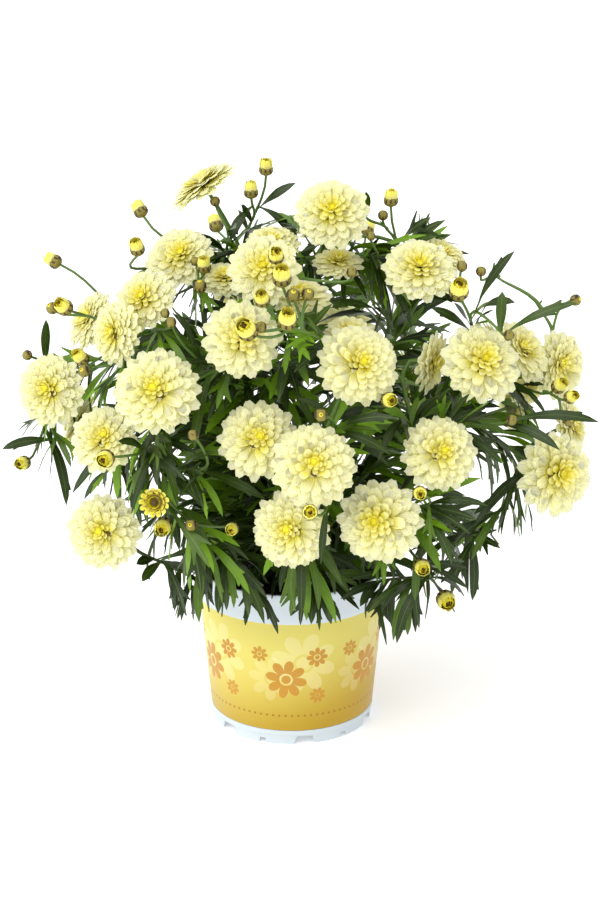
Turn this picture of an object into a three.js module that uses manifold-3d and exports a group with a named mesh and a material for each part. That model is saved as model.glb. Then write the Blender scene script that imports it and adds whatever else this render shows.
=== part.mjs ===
// Potted marguerite daisy: a bushy plant with double blooms in a 13 cm plastic pot.
// Millimetres, +Z up, the origin on the ground under the middle of the plant.
import * as THREE from "three";
import { mergeVertices } from "three/addons/utils/BufferGeometryUtils.js";
import Module from "manifold-3d";

const wasm = await Module();
wasm.setup();

const { Vector3 } = THREE;
const UP = new Vector3(0, 0, 1);

// Driving dimensions of the pot
const potHeight = 113;
const rimRadius = 66.3;
const potWall = 1.3;
const bandBottom = 91.8;
const bandRadius = 65;
const ledgeTop = 10.3;
const ledgeRadius = 56.9;
const skirtHeight = 6.8;
const skirtRadius = 55.8;
const basePlate = 1.4;
const seatGap = 0.3;
const roundSteps = 30;

// Printed sleeve round the pot's wall
const sleeveThickness = 0.5;
const sleeveBottomRadius = ledgeRadius;
const sleeveTopRadius = 64.1;

// Soil
const soilTop = 104;
const soilBump = 1.6;
const holeDepth = 9;
const holeClearance = 1.1;

// Stems
const trunkRadius = 2.3;
const rootRadius = 2.9;
const branchRadius = 1.35;
const budStalkRadius = 0.95;
const cupLength = 5;
const cupRadius = 6.2;

// Leaves
const leafSpacing = 6.5;
const leafShare = 7;
const leafClearance = 0.5;
const bareUnderBloom = 42;
const bareUnderBud = 36;
const shortestLeaf = 16;

// The reference view that the pixels of the photograph belong to
const view = { distance: 1250, height: 595, pitch: 17.83, pan: 0.26, focal: 1932, middle: [300, 450] };

// Blooms that the photograph shows: the pixel of the middle, the depth behind (+) or before (-)
// the pot's axis, the diameter, and the way the face looks: turn to the right, lift above level
const seenBlooms = [
  [197, 173, 10, 49, -112, 54, "double"],
  [332, 209, -55, 46, 0, 35, "anemone"],
  [421, 264, -75, 45, 5, 45, "anemone"],
  [444, 250, -28, 34, 40, 60, "double"],
  [141, 296, -95, 39, -25, 35, "anemone"],
  [176, 252, -48, 43, -20, 42, "anemone"],
  [262, 267, -108, 43, -8, 28, "anemone"],
  [242, 337, -138, 46, 5, 26, "anemone"],
  [110, 333, -104, 39, -42, 12, "double"],
  [83, 317, -44, 39, -60, 30, "double"],
  [155, 389, -138, 51, -5, 28, "double"],
  [46, 390, -60, 45, -20, 15, "double"],
  [101, 437, -118, 41, -15, 30, "double"],
  [101, 533, -104, 47, -12, 14, "double"],
  [257, 439, -138, 47, -5, 24, "double"],
  [314, 466, -168, 49, 0, 18, "double"],
  [289, 531, -146, 47, -12, 10, "double"],
  [378, 523, -150, 50, -12, 14, "anemone"],
  [442, 452, -138, 45, 10, 25, "double"],
  [361, 362, -142, 49, 15, 30, "double"],
  [440, 365, -92, 38, 58, -6, "anemone"],
  [485, 360, -110, 49, 15, 32, "anemone"],
  [527, 347, -62, 42, 45, 40, "double"],
  [566, 366, -40, 44, 38, 10, "double"],
  [530, 381, -18, 32, 30, 10, "double"],
  [562, 475, -86, 52, 25, 12, "anemone"],
  [577, 425, -44, 38, 62, 20, "double"],
  [301, 290, -80, 38, 10, 66, "anemone"],
  [338, 257, -40, 32, 5, 66, "anemone"],
  [350, 328, -96, 30, 10, 62, "double"],
  [224, 274, -56, 30, 0, 60, "anemone"],
  [272, 238, -52, 34, 0, 62, "double"],
];

// Blooms of the side that it doesn't show: turn round the axis, distance from it, height,
// diameter, lift of the face
const hiddenBlooms = [
  [112, 176, 206, 46, 10, "double"],
  [146, 172, 204, 48, 12, "anemone"],
  [166, 190, 200, 46, 8, "double"],
  [213, 172, 206, 47, 14, "double"],
  [248, 168, 196, 45, 10, "anemone"],
  [98, 150, 262, 44, 32, "anemone"],
  [134, 136, 296, 46, 34, "double"],
  [163, 138, 250, 48, 30, "double"],
  [197, 134, 284, 45, 36, "anemone"],
  [230, 138, 276, 46, 32, "double"],
  [263, 142, 284, 42, 34, "double"],
  [122, 84, 318, 44, 58, "double"],
  [163, 76, 335, 46, 62, "anemone"],
  [238, 84, 318, 43, 58, "double"],
];

// Buds with showing petals: pixel, depth, diameter, turn and lift of the tip
const seenBuds = [
  [54, 261, -20, 10, -100, 28],
  [140, 210, -20, 10, -120, 55],
  [137, 248, -74, 10, -20, 62],
  [266, 168, 8, 10, 0, 80],
  [251, 191, 0, 10, -20, 84],
  [391, 199, -12, 10, 0, 84],
  [262, 299, -150, 10, -5, 46],
  [287, 320, -160, 12, 5, 52],
  [247, 330, -170, 13, -20, 36],
  [64, 307, -92, 11, -35, 36],
  [81, 358, -96, 10, -45, 48],
  [459, 290, -118, 13, 0, 46],
  [576, 300, -26, 8, 62, 14],
  [559, 386, -84, 10, 30, 42],
  [389, 400, -144, 10, 15, 12],
  [310, 512, -186, 10, 0, 16],
  [420, 493, -168, 9, 0, 10],
  [422, 567, -140, 11, 5, 4],
  [446, 600, -112, 13, 8, 2],
  [571, 397, -98, 9, 30, 30],
  [105, 459, -152, 12, -5, 10],
  [23, 463, -58, 10, -20, 8],
  [155, 502, -136, 15, -8, 12],
  [163, 527, -126, 12, -5, 2],
];
const hiddenBuds = [
  [95, 176, 242, 10, 24],
  [129, 166, 240, 11, 24],
  [164, 170, 236, 10, 20],
  [232, 166, 238, 10, 22],
  [266, 174, 244, 10, 24],
  [150, 108, 326, 10, 52],
  [210, 106, 330, 11, 54],
];

// Leafy shoots with no bloom: pixel and depth of the tip, turn and lift of its direction
const seenShoots = [
  [50, 446, -50, -88, 2],
  [120, 555, -70, -60, -20],
  [190, 590, -80, -35, -30],
  [250, 598, -100, -15, -35],
  [318, 600, -104, 5, -35],
  [372, 592, -100, 20, -30],
  [430, 580, -90, 40, -20],
  [500, 545, -60, 60, -10],
  [543, 300, -22, 60, 35],
  [495, 262, -40, 35, 55],
  [432, 226, 12, 20, 70],
  [305, 222, 0, 0, 80],
  [228, 226, -10, -20, 75],
  [205, 470, -130, -25, 5],
];
const hiddenShoots = [
  [105, 118, 128, -20],
  [145, 108, 124, -28],
  [180, 106, 122, -30],
  [215, 110, 124, -28],
  [255, 118, 128, -20],
];

// The main stems: low heads are shared out by their turn round the axis, and heads near the
// crown, seen from crownFoot at more than crownLift above level, by three more stems
const sideSectors = [-180, -105, -65, -32, -6, 20, 52, 108, 180];
const crownSectors = [-180, -12, 60, 180];
const crownFoot = 150;
const crownLift = 56;
const sideRootRadius = 24;
const crownRootRadius = 9;

// The round crown that the leaves fill
const crownMiddle = 190;
const crownRadius = 188;
const crownHeight = 196;
const leafOverhang = 6;

// The outline of the foliage as the photograph shows it, in pixels
const foliageOutline = [
  [16, 426], [30, 350], [60, 340], [98, 342], [112, 296], [150, 250], [196, 224], [218, 216],
  [252, 196], [294, 190], [330, 215], [370, 220], [402, 206], [442, 213], [462, 246], [488, 256],
  [503, 242], [516, 290], [556, 294], [575, 302], [588, 345], [602, 412], [562, 440], [530, 480],
  [540, 536], [500, 540], [482, 562], [477, 614], [428, 628], [412, 640], [386, 652], [356, 612],
  [330, 632], [284, 636], [216, 618], [184, 634], [156, 586], [134, 572], [140, 530], [120, 500],
  [80, 506], [28, 474],
];

// Colours
const plasticWhite = new THREE.MeshStandardMaterial({ color: 0xe9eef4, roughness: 0.45, metalness: 0 });
const printedGold = new THREE.MeshStandardMaterial({ color: 0xe6bf45, roughness: 0.4, metalness: 0 });
const darkPeat = new THREE.MeshStandardMaterial({ color: 0x1d1712, roughness: 1, metalness: 0 });
const leafGreen = new THREE.MeshStandardMaterial({ color: 0x2f5a24, roughness: 0.6, metalness: 0 });
const petalCream = new THREE.MeshStandardMaterial({ color: 0xf3f0b4, roughness: 0.6, metalness: 0 });

// A repeatable number between 0 and 1 for each whole number
function chance(number) {
  const wave = Math.sin(number * 12.9898 + 78.233) * 43758.5453;
  return wave - Math.floor(wave);
}

// The direction that a head faces
function facing(turn, lift) {
  const [t, l] = [THREE.MathUtils.degToRad(turn), THREE.MathUtils.degToRad(lift)];
  return new Vector3(Math.sin(t) * Math.cos(l), -Math.cos(t) * Math.cos(l), Math.sin(l));
}

// The eye of the reference view, and its forward, up and right directions
function viewAxes() {
  const pitch = THREE.MathUtils.degToRad(view.pitch);
  const pan = THREE.MathUtils.degToRad(view.pan);
  return {
    eye: new Vector3(0, -view.distance, view.height),
    forward: new Vector3(0, Math.cos(pitch), -Math.sin(pitch)).applyAxisAngle(UP, -pan),
    above: new Vector3(0, Math.sin(pitch), Math.cos(pitch)).applyAxisAngle(UP, -pan),
    right: new Vector3(1, 0, 0).applyAxisAngle(UP, -pan),
  };
}

// The point where the line of sight through a pixel reaches a depth
function onSight(pixelX, pixelY, depth) {
  const { eye, forward, above, right } = viewAxes();
  const ray = forward
    .addScaledVector(right, (pixelX - view.middle[0]) / view.focal)
    .addScaledVector(above, (view.middle[1] - pixelY) / view.focal);
  return eye.addScaledVector(ray, (depth - eye.y) / ray.y);
}

// Whether a point shows inside the outline of the foliage
function isInFoliage(point) {
  const { eye, forward, above, right } = viewAxes();
  const offset = point.clone().sub(eye);
  const scale = view.focal / offset.dot(forward);
  const x = view.middle[0] + offset.dot(right) * scale;
  const y = view.middle[1] - offset.dot(above) * scale;
  return foliageOutline.reduce((isInside, [ax, ay], k) => {
    const [bx, by] = foliageOutline[(k + 1) % foliageOutline.length];
    const crosses = ay > y !== by > y && x < ax + ((y - ay) * (bx - ax)) / (by - ay);
    return crosses ? !isInside : isInside;
  }, false);
}

// A point given by its turn round the axis
function onRing(turn, radius, height) {
  return facing(turn, 0).multiplyScalar(radius).setZ(height);
}

// A closed solid of a geometry, for joining and cutting
function solidOf(geometry) {
  const bare = geometry.clone();
  bare.deleteAttribute("normal");
  bare.deleteAttribute("uv");
  const merged = mergeVertices(bare, 1e-4);
  const mesh = new wasm.Mesh({
    numProp: 3,
    vertProperties: Float32Array.from(merged.attributes.position.array),
    triVerts: Uint32Array.from(merged.index.array),
  });
  return new wasm.Manifold(mesh);
}

function geometryOf(solid) {
  const mesh = solid.getMesh();
  const geometry = new THREE.BufferGeometry();
  geometry.setAttribute("position", new THREE.BufferAttribute(mesh.vertProperties, 3));
  geometry.setIndex(new THREE.BufferAttribute(mesh.triVerts, 1));
  geometry.computeVertexNormals();
  return geometry;
}

function meshOf(name, geometry, material) {
  const mesh = new THREE.Mesh(geometry, material);
  mesh.name = name;
  return mesh;
}

// A turned shape about +Z from [radius, height] pairs
function turned(profile, steps) {
  const points = profile.map(([radius, height]) => new THREE.Vector2(radius, height));
  return new THREE.LatheGeometry(points, steps).rotateX(Math.PI / 2);
}

// Pot

const wallFoot = sleeveBottomRadius - sleeveThickness - seatGap;
const wallTop = sleeveTopRadius - sleeveThickness - seatGap;
const cavityFloor = skirtHeight + basePlate;

function cavityRadius(height) {
  const share = (height - ledgeTop) / (bandBottom - ledgeTop);
  return wallFoot - potWall + (wallTop - wallFoot) * share;
}

function potGeometry() {
  const outline = [
    [0, skirtHeight],
    [skirtRadius - potWall, skirtHeight],
    [skirtRadius - potWall, 0],
    [skirtRadius, 0],
    [skirtRadius, skirtHeight],
    [ledgeRadius, skirtHeight],
    [ledgeRadius, ledgeTop],
    [wallFoot, ledgeTop],
    [wallTop, bandBottom],
    [bandRadius, bandBottom],
    [bandRadius + 0.6, potHeight - 3.4],
    [rimRadius, potHeight - 2.6],
    [rimRadius, potHeight],
    [rimRadius - 1.8, potHeight],
    [cavityRadius(potHeight - 4), potHeight - 4],
    [cavityRadius(cavityFloor), cavityFloor],
    [0, cavityFloor],
  ];
  let pot = solidOf(turned(outline, roundSteps));
  for (let k = 0; k < 6; k++) {
    pot = pot.subtract(footNotch(11, 16, 5.6, 9 + 60 * k));
    pot = pot.subtract(footNotch(4, 6, 3.4, 39 + 60 * k));
    if (k % 2) pot = pot.subtract(drainHole(4, 34, 24 + 60 * k));
  }
  return geometryOf(pot);
}

// A trapezoid cut through the foot skirt, narrow at its top
function footNotch(topWidth, footWidth, height, turn) {
  const below = 2;
  const outline = new THREE.Shape();
  outline.moveTo(-footWidth / 2, -below);
  outline.lineTo(footWidth / 2, -below);
  outline.lineTo(footWidth / 2, 0);
  outline.lineTo(topWidth / 2, height);
  outline.lineTo(-topWidth / 2, height);
  outline.lineTo(-footWidth / 2, 0);
  const cutter = new THREE.ExtrudeGeometry(outline, { depth: 8, bevelEnabled: false })
    .rotateX(Math.PI / 2)
    .translate(0, -(skirtRadius - 6), 0)
    .rotateZ(THREE.MathUtils.degToRad(turn));
  return solidOf(cutter);
}

function drainHole(radius, distance, turn) {
  const place = onRing(turn, distance, skirtHeight + basePlate / 2);
  const cutter = new THREE.CylinderGeometry(radius, radius, 3 * basePlate, 6)
    .rotateX(Math.PI / 2)
    .translate(place.x, place.y, place.z);
  return solidOf(cutter);
}

// Sleeve: a thin band that tapers with the wall

function sleeveGeometry() {
  const bottom = ledgeTop + seatGap;
  const top = bandBottom - seatGap;
  return turned([
    [sleeveBottomRadius - sleeveThickness, bottom],
    [sleeveBottomRadius, bottom],
    [sleeveTopRadius, top],
    [sleeveTopRadius - sleeveThickness, top],
    [sleeveBottomRadius - sleeveThickness, bottom],
  ], roundSteps);
}

// Soil: fills the cavity, uneven on top, with a hole for each main stem

function soilGeometry(roots) {
  const floor = cavityFloor + seatGap;
  const edge = (height) => [cavityRadius(height) - seatGap, height];
  const geometry = turned([
    [0, floor],
    edge(floor),
    edge(soilTop - 3),
    [cavityRadius(soilTop) - 9, soilTop],
    [cavityRadius(soilTop) * 0.5, soilTop],
    [0, soilTop],
  ], roundSteps / 2);
  const position = geometry.attributes.position;
  for (let i = 0; i < position.count; i++) {
    const [x, y, z] = [position.getX(i), position.getY(i), position.getZ(i)];
    const middle = Math.hypot(x, y) < 1 ? 0 : 1;
    const wave = Math.sin(x * 0.31) * Math.cos(y * 0.27) * middle;
    if (z > soilTop - 1) position.setZ(i, z + soilBump * wave);
  }
  let soil = solidOf(geometry);
  for (const root of roots) {
    const radius = rootRadius + holeClearance;
    const hole = new THREE.CylinderGeometry(radius, radius, 2 * holeDepth, 6)
      .rotateX(Math.PI / 2)
      .translate(root.x, root.y, soilTop);
    soil = soil.subtract(solidOf(hole));
  }
  return geometryOf(soil);
}

// Blooms: tiers of petals as scalloped rings, from the seat on the cup up to the eye.
// Each ring gives its count, the radius and height of its petal tips, and those of the
// notches between them, as shares of the bloom's radius.

const bloomTiers = {
  double: [
    { count: 6, tip: [0.22, 0] },
    { count: 24, tip: [1, 0.16], notch: [0.83, 0.2] },
    { count: 12, tip: [0.74, 0.27] },
    { count: 12, tip: [0.8, 0.44], notch: [0.62, 0.44] },
    { count: 6, tip: [0.44, 0.45] },
    { count: 6, tip: [0.44, 0.62], notch: [0.36, 0.58] },
    { count: 1, tip: [0, 0.48] },
  ],
  anemone: [
    { count: 6, tip: [0.22, 0] },
    { count: 24, tip: [1, 0.1], notch: [0.78, 0.14] },
    { count: 12, tip: [0.68, 0.22] },
    { count: 12, tip: [0.74, 0.34], notch: [0.56, 0.32] },
    { count: 6, tip: [0.38, 0.28] },
    { count: 6, tip: [0.38, 0.54], notch: [0.3, 0.5] },
    { count: 1, tip: [0, 0.42] },
  ],
};

function ringPoints({ count, tip, notch }, radius) {
  const points = [];
  for (let i = 0; i < count; i++) {
    const [share, rise] = notch && i % 2 ? notch : tip;
    const angle = (2 * Math.PI * i) / count;
    const reach = radius * share;
    points.push([Math.cos(angle) * reach, Math.sin(angle) * reach, radius * rise]);
  }
  return points;
}

// Skins a stack of rings, each closed on itself, and closes both ends
function stackedRings(rings) {
  const corners = rings.flat(2);
  const faces = [];
  let first = 0;
  for (let r = 0; r + 1 < rings.length; r++) {
    const [a, b] = [rings[r].length, rings[r + 1].length];
    const next = first + a;
    let [i, j] = [0, 0];
    while (i < a || j < b) {
      const stepLower = a > 1 && (j >= b || b === 1 || (i + 1) / a <= (j + 1) / b);
      if (b === 1 && i >= a) break;
      if (stepLower && i < a) {
        faces.push(first + i, first + ((i + 1) % a), next + (j % b));
        i += 1;
      } else {
        faces.push(next + ((j + 1) % b), next + j, first + (i % a));
        j += 1;
      }
    }
    first = next;
  }
  const last = rings[rings.length - 1].length;
  for (let k = 1; k + 1 < rings[0].length; k++) faces.push(0, k + 1, k);
  for (let k = 1; k + 1 < last; k++) faces.push(first, first + k, first + k + 1);
  const geometry = new THREE.BufferGeometry();
  geometry.setAttribute("position", new THREE.Float32BufferAttribute(corners, 3));
  geometry.setIndex(faces);
  geometry.computeVertexNormals();
  return geometry;
}

function bloomGeometry(kind, radius) {
  return stackedRings(bloomTiers[kind].map((tier) => ringPoints(tier, radius)));
}

// Heads: what the stems carry, each with its seat and the direction it faces

const bloomMiddle = 0.32;

function bloomHead(middle, diameter, axis, kind) {
  const radius = diameter / 2;
  const seat = middle.clone().addScaledVector(axis, -bloomMiddle * radius);
  return { type: "bloom", seat, axis, radius, kind };
}

const blooms = [
  ...seenBlooms.map(([x, y, depth, diameter, turn, lift, kind]) =>
    bloomHead(onSight(x, y, depth), diameter, facing(turn, lift), kind)),
  ...hiddenBlooms.map(([turn, radius, height, diameter, lift, kind]) =>
    bloomHead(onRing(turn, radius, height), diameter, facing(turn, lift), kind)),
];

const buds = [
  ...seenBuds.map(([x, y, depth, diameter, turn, lift]) =>
    ({ type: "bud", seat: onSight(x, y, depth), axis: facing(turn, lift), radius: diameter / 2 })),
  ...hiddenBuds.map(([turn, distance, height, diameter, lift]) =>
    ({ type: "bud", seat: onRing(turn, distance, height), axis: facing(turn, lift), radius: diameter / 2 })),
];

const shoots = [
  ...seenShoots.map(([x, y, depth, turn, lift]) =>
    ({ type: "shoot", seat: onSight(x, y, depth), axis: facing(turn, lift), radius: 1 })),
  ...hiddenShoots.map(([turn, distance, height, lift]) =>
    ({ type: "shoot", seat: onRing(turn, distance, height), axis: facing(turn, lift), radius: 1 })),
];

// The main stem that a head grows from
function stemIndex(head) {
  const { x, y, z } = head.seat;
  const turn = (THREE.MathUtils.radToDeg(Math.atan2(x, -y)) + 180) % 360 - 180;
  const lift = THREE.MathUtils.radToDeg(Math.atan2(z - crownFoot, Math.hypot(x, y)));
  if (lift > crownLift) {
    return sideSectors.length - 1 + crownSectors.findIndex((edge) => turn < edge) - 1;
  }
  return sideSectors.findIndex((edge) => turn < edge) - 1;
}

function sectorMiddle(edges, index) {
  return (edges[index] + edges[index + 1]) / 2;
}

const stems = [
  ...sideSectors.slice(1).map((_, k) => onRing(sectorMiddle(sideSectors, k), sideRootRadius, soilTop)),
  ...crownSectors.slice(1).map((_, k) => onRing(sectorMiddle(crownSectors, k), crownRootRadius, soilTop)),
].map((root) => ({ root, heads: [], routes: [] }));

for (const head of [...blooms, ...buds, ...shoots]) stems[stemIndex(head)].heads.push(head);

// Routes: each head is joined by a bent branch to the nearest fitting place of its main stem

const routeSamples = 12;
const reachShare = 0.36;
const stalkStep = 90;
const turnStep = 1.2;
const mostSteps = 5;
const forkChoices = 5;
const bows = [
  [0, 0], [9, 0], [-9, 0], [0, 9], [0, -9], [18, 0], [-18, 0],
  [13, 13], [-13, 13], [13, -13], [-13, -13], [0, 18], [27, 0], [-27, 0],
];

function stalkEnd(head) {
  const back = head.type === "bloom" ? seatGap + cupLength : head.radius;
  return head.seat.clone().addScaledVector(head.axis, -back);
}

// A branch leaves along its parent and arrives along its head's axis, bowed aside or up
function branchCurve(fork, head, [asideBow, riseBow]) {
  const end = stalkEnd(head);
  const span = end.clone().sub(fork.start);
  const reach = span.length() * reachShare;
  const aside = new Vector3().crossVectors(span, UP).normalize();
  const rise = new Vector3().crossVectors(aside, span).normalize();
  const bow = aside.multiplyScalar(asideBow).addScaledVector(rise, riseBow);
  return new THREE.CubicBezierCurve3(
    fork.start,
    fork.start.clone().addScaledVector(fork.heading, reach).add(bow),
    end.clone().addScaledVector(head.axis, -reach).add(bow),
    end,
  );
}

// How far a point stays outside the flat round body of a bloom
function outsideBloom(point, bloom) {
  const offset = point.clone().sub(bloom.seat);
  const rise = offset.dot(bloom.axis);
  const reach = Math.sqrt(Math.max(0, offset.lengthSq() - rise * rise));
  return Math.max(reach - bloom.radius, -cupLength - rise, rise - bloom.radius * 0.62);
}

// A stalk is straight between its steps, of which a bent one has more
function chordPoints(curve) {
  const tangents = [0, 0.25, 0.5, 0.75, 1].map((share) => curve.getTangentAt(share));
  const turning = tangents.slice(1).reduce((sum, tangent, k) => sum + tangent.angleTo(tangents[k]), 0);
  const steps = 1 + Math.round(curve.getLength() / stalkStep + turning / turnStep);
  return curve.getSpacedPoints(Math.min(steps, mostSteps));
}

function onChords(points, share) {
  const steps = points.length - 1;
  const step = Math.min(Math.floor(share * steps), steps - 1);
  return points[step].clone().lerp(points[step + 1], share * steps - step);
}

// How far a point stays above the soil, and above the rim where it crosses that
function aboveGround(point) {
  const reach = Math.hypot(point.x, point.y);
  if (reach > rimRadius + 5) return Infinity;
  return point.z - (reach > rimRadius - 9 ? potHeight + 3 : soilTop + 5);
}

// How far a route stays clear of the soil and rim, the blooms and the other stems' routes
function routeClearance(points, head, stem) {
  let clearance = Infinity;
  for (let k = 1; k <= routeSamples; k++) {
    const point = onChords(points, k / routeSamples);
    const nearHead = k > routeSamples * 0.8;
    const thickness = nearHead && head.type === "bud" ? head.radius : branchRadius;
    if (head !== stem.heads[0]) clearance = Math.min(clearance, aboveGround(point));
    for (const bloom of blooms) {
      if (bloom === head && nearHead) continue;
      clearance = Math.min(clearance, outsideBloom(point, bloom) - thickness);
    }
    for (const other of stems) {
      if (other === stem) continue;
      for (const spot of other.spots ?? []) {
        clearance = Math.min(clearance, point.distanceTo(spot) - 2 * trunkRadius);
      }
    }
  }
  return clearance;
}

// The places on the stem so far that a branch to this head leaves most naturally, best first
function forksFor(stem, head) {
  const forks = [];
  for (const route of stem.routes) {
    for (let share = 0.2; share < 0.86; share += 0.06) {
      const start = onChords(route.points, share);
      const heading = route.curve.getTangentAt(share);
      const span = head.seat.clone().sub(start);
      const length = span.length();
      if (length < 22) continue;
      const bend = 1 - span.normalize().dot(heading);
      const drop = Math.max(0, start.z - head.seat.z) * 0.5;
      forks.push({ start, heading, cost: length * (1 + 0.9 * bend) + drop });
    }
  }
  return forks.sort((a, b) => a.cost - b.cost).slice(0, forkChoices);
}

function growRoute(stem, head, forks) {
  let best = null;
  for (const fork of forks) {
    for (const bow of bows) {
      const curve = branchCurve(fork, head, bow);
      const points = chordPoints(curve);
      const clearance = routeClearance(points, head, stem);
      if (best === null || clearance > best.clearance) best = { curve, points, clearance };
      if (clearance > 1) return best;
    }
  }
  return best;
}

for (const stem of stems) {
  const foot = stem.root.clone().setZ(soilTop + 1.5);
  stem.spots = [];
  for (const head of stem.heads) {
    const isTrunk = stem.routes.length === 0;
    const forks = isTrunk ? [{ start: foot, heading: UP }] : forksFor(stem, head);
    const route = { ...growRoute(stem, head, forks), head, isTrunk };
    stem.routes.push(route);
    for (let k = 0; k <= 2 * routeSamples; k++) stem.spots.push(onChords(route.points, k / (2 * routeSamples)));
  }
}

// Stalks: each flares into the green cup under a bloom, or swells into a bud

const headRings = {
  bloom: () => [{ count: 5, radius: cupRadius, rise: cupLength }],
  bud: (r) => [
    { count: 5, radius: r, rise: r },
    { count: 4, radius: r * 0.85, rise: r * 2.1 },
    { count: 1, radius: 0, rise: r * 1.9 },
  ],
  shoot: () => [],
};

function ringAround(middle, normal, binormal, count, radius) {
  return Array.from({ length: count }, (_, k) => {
    const angle = (2 * Math.PI * k) / count;
    return middle.clone()
      .addScaledVector(normal, Math.cos(angle) * radius)
      .addScaledVector(binormal, Math.sin(angle) * radius)
      .toArray();
  });
}

function stalkGeometry({ curve, head, isTrunk, points }) {
  const radius = isTrunk ? trunkRadius : head.type === "bud" ? budStalkRadius : branchRadius;
  const sides = isTrunk ? 4 : 3;
  const steps = points.length - 1;
  const { normals, binormals } = curve.computeFrenetFrames(steps, false);
  const rings = points.map((point, k) => ringAround(point, normals[k], binormals[k], sides, radius));
  const normal = normals[steps].clone().projectOnPlane(head.axis).normalize();
  const binormal = new Vector3().crossVectors(head.axis, normal);
  for (const ring of headRings[head.type](head.radius)) {
    const middle = points[steps].clone().addScaledVector(head.axis, ring.rise);
    rings.push(ringAround(middle, normal, binormal, ring.count, ring.radius));
  }
  return stackedRings(rings);
}

// The woody foot of a main stem, from the bottom of its hole to just above the soil
function rootGeometry(root) {
  const [bottom, top] = [soilTop - holeDepth + seatGap, soilTop + 5];
  return new THREE.CylinderGeometry(rootRadius, rootRadius, top - bottom, 6)
    .rotateX(Math.PI / 2)
    .translate(root.x, root.y, (bottom + top) / 2);
}

// Leaves: a narrow blade with pointed lobes, flat above and with a thick rib below.
// The outline runs from the foot of the blade round its tip and back: share of the length, width.
// The rib runs from a point inside the stem: share of the length, depth.

const leafOutline = [
  [0.11, 1.2],
  [0.3, 1.7],
  [0.58, 7.5],
  [0.46, 1.9],
  [1, 0],
  [0.62, -1.9],
  [0.76, -6.8],
  [0.46, -1.8],
  [0.11, -1.2],
];
const leafRib = [
  [-0.03, 0.4],
  [0.11, 1],
  [0.4, 1],
  [0.6, 1],
];
const leafFaces = {
  above: [[1, 2, 3], [5, 6, 7], [9, 0, 8], [0, 1, 8], [1, 7, 8], [1, 3, 7], [3, 5, 7], [3, 4, 5]],
  below: [
    [9, 10, 0], [9, 8, 10], [10, 11, 0], [10, 8, 11],
    [11, 1, 0], [11, 2, 1], [11, 3, 2], [11, 8, 7], [11, 12, 3], [11, 7, 12],
    [12, 4, 3], [12, 5, 4], [12, 6, 5], [12, 7, 6],
  ],
};

// A point of the arc that a leaf follows
function onLeaf({ base, heading, sag, bend, length }, share) {
  return base.clone()
    .addScaledVector(heading, (length * Math.sin(bend * share)) / bend)
    .addScaledVector(sag, (length * (1 - Math.cos(bend * share))) / bend);
}

function leafGeometry(leaf, margin = 0) {
  const { heading, sag, bend, mirrored } = leaf;
  const across = new Vector3().crossVectors(heading, sag).multiplyScalar(mirrored ? -1 : 1);
  const onBlade = (share, width, height) => {
    const angle = bend * share;
    const lift = sag.clone().multiplyScalar(-Math.cos(angle)).addScaledVector(heading, Math.sin(angle));
    return onLeaf(leaf, share)
      .addScaledVector(across, width + Math.sign(width) * margin)
      .addScaledVector(lift, height)
      .toArray();
  };
  const points = [
    ...leafOutline.map(([share, width]) => onBlade(share, width, margin)),
    ...leafRib.map(([share, depth]) => onBlade(share, 0, -depth - margin)),
  ];
  const faces = [...leafFaces.above, ...leafFaces.below];
  const geometry = new THREE.BufferGeometry();
  geometry.setAttribute("position", new THREE.Float32BufferAttribute(points.flat(), 3));
  geometry.setIndex(faces.flatMap(([a, b, c]) => (mirrored ? [a, b, c] : [a, c, b])));
  geometry.computeVertexNormals();
  return geometry;
}

// How long a leaf can be before it sticks out of the round crown
function crownRoom(point) {
  if (point.z < crownMiddle) return Infinity;
  const rise = (point.z - crownMiddle) * (crownRadius / crownHeight);
  return crownRadius + leafOverhang - Math.hypot(point.x, point.y, rise);
}

// Leaves stand all round their stem by the golden angle, and reach outwards
function leafAt(point, tangent, index) {
  const outward = new Vector3(point.x, point.y, 0).normalize();
  const turn = index * THREE.MathUtils.degToRad(137.5);
  const firstSide = new Vector3().crossVectors(tangent, outward).normalize();
  const secondSide = new Vector3().crossVectors(tangent, firstSide).normalize();
  const heading = tangent.clone().multiplyScalar(0.8)
    .addScaledVector(firstSide, Math.cos(turn) * 0.85)
    .addScaledVector(secondSide, Math.sin(turn) * 0.85)
    .addScaledVector(outward, 0.3)
    .normalize();
  const sag = UP.clone().negate().addScaledVector(heading, heading.z);
  if (sag.length() < 0.2) sag.copy(outward);
  sag.addScaledVector(heading, -sag.dot(heading)).normalize();
  return {
    base: point,
    heading,
    sag,
    bend: 0.3 + 0.6 * chance(index),
    length: Math.min(34 + 18 * chance(index + 0.5), crownRoom(point)),
    mirrored: chance(index + 0.25) < 0.5,
  };
}

// The leaf that ends a shoot carries on along it
function endLeaf(route, index) {
  const heading = route.head.axis.clone();
  const sag = UP.clone().negate().projectOnPlane(heading).normalize();
  const base = onChords(route.points, 0.95);
  return { base, heading, sag, bend: 0.6, length: 40, mirrored: chance(index) < 0.5, isKept: true };
}

function stemLeaves(stem, stemNumber) {
  const leaves = [];
  stem.routes.forEach((route, routeNumber) => {
    const { curve, head, isTrunk } = route;
    const length = curve.getLength();
    const bare = { bloom: bareUnderBloom, bud: bareUnderBud, shoot: 2 }[head.type];
    const start = isTrunk ? 22 : 6;
    let index = 1000 * stemNumber + 50 * routeNumber;
    if (head.type === "shoot") leaves.push(endLeaf(route, index));
    for (let along = start; along < length - bare; along += leafSpacing) {
      index += 1;
      const share = along / length;
      const leaf = leafAt(onChords(route.points, share), curve.getTangentAt(share), index);
      const isInside = isInFoliage(onLeaf(leaf, 0.5)) && isInFoliage(onLeaf(leaf, 1));
      const isKept = index % leafShare === 0 && leaf.length > shortestLeaf && isInside;
      leaves.push({ ...leaf, isKept });
    }
  });
  return leaves;
}

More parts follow.
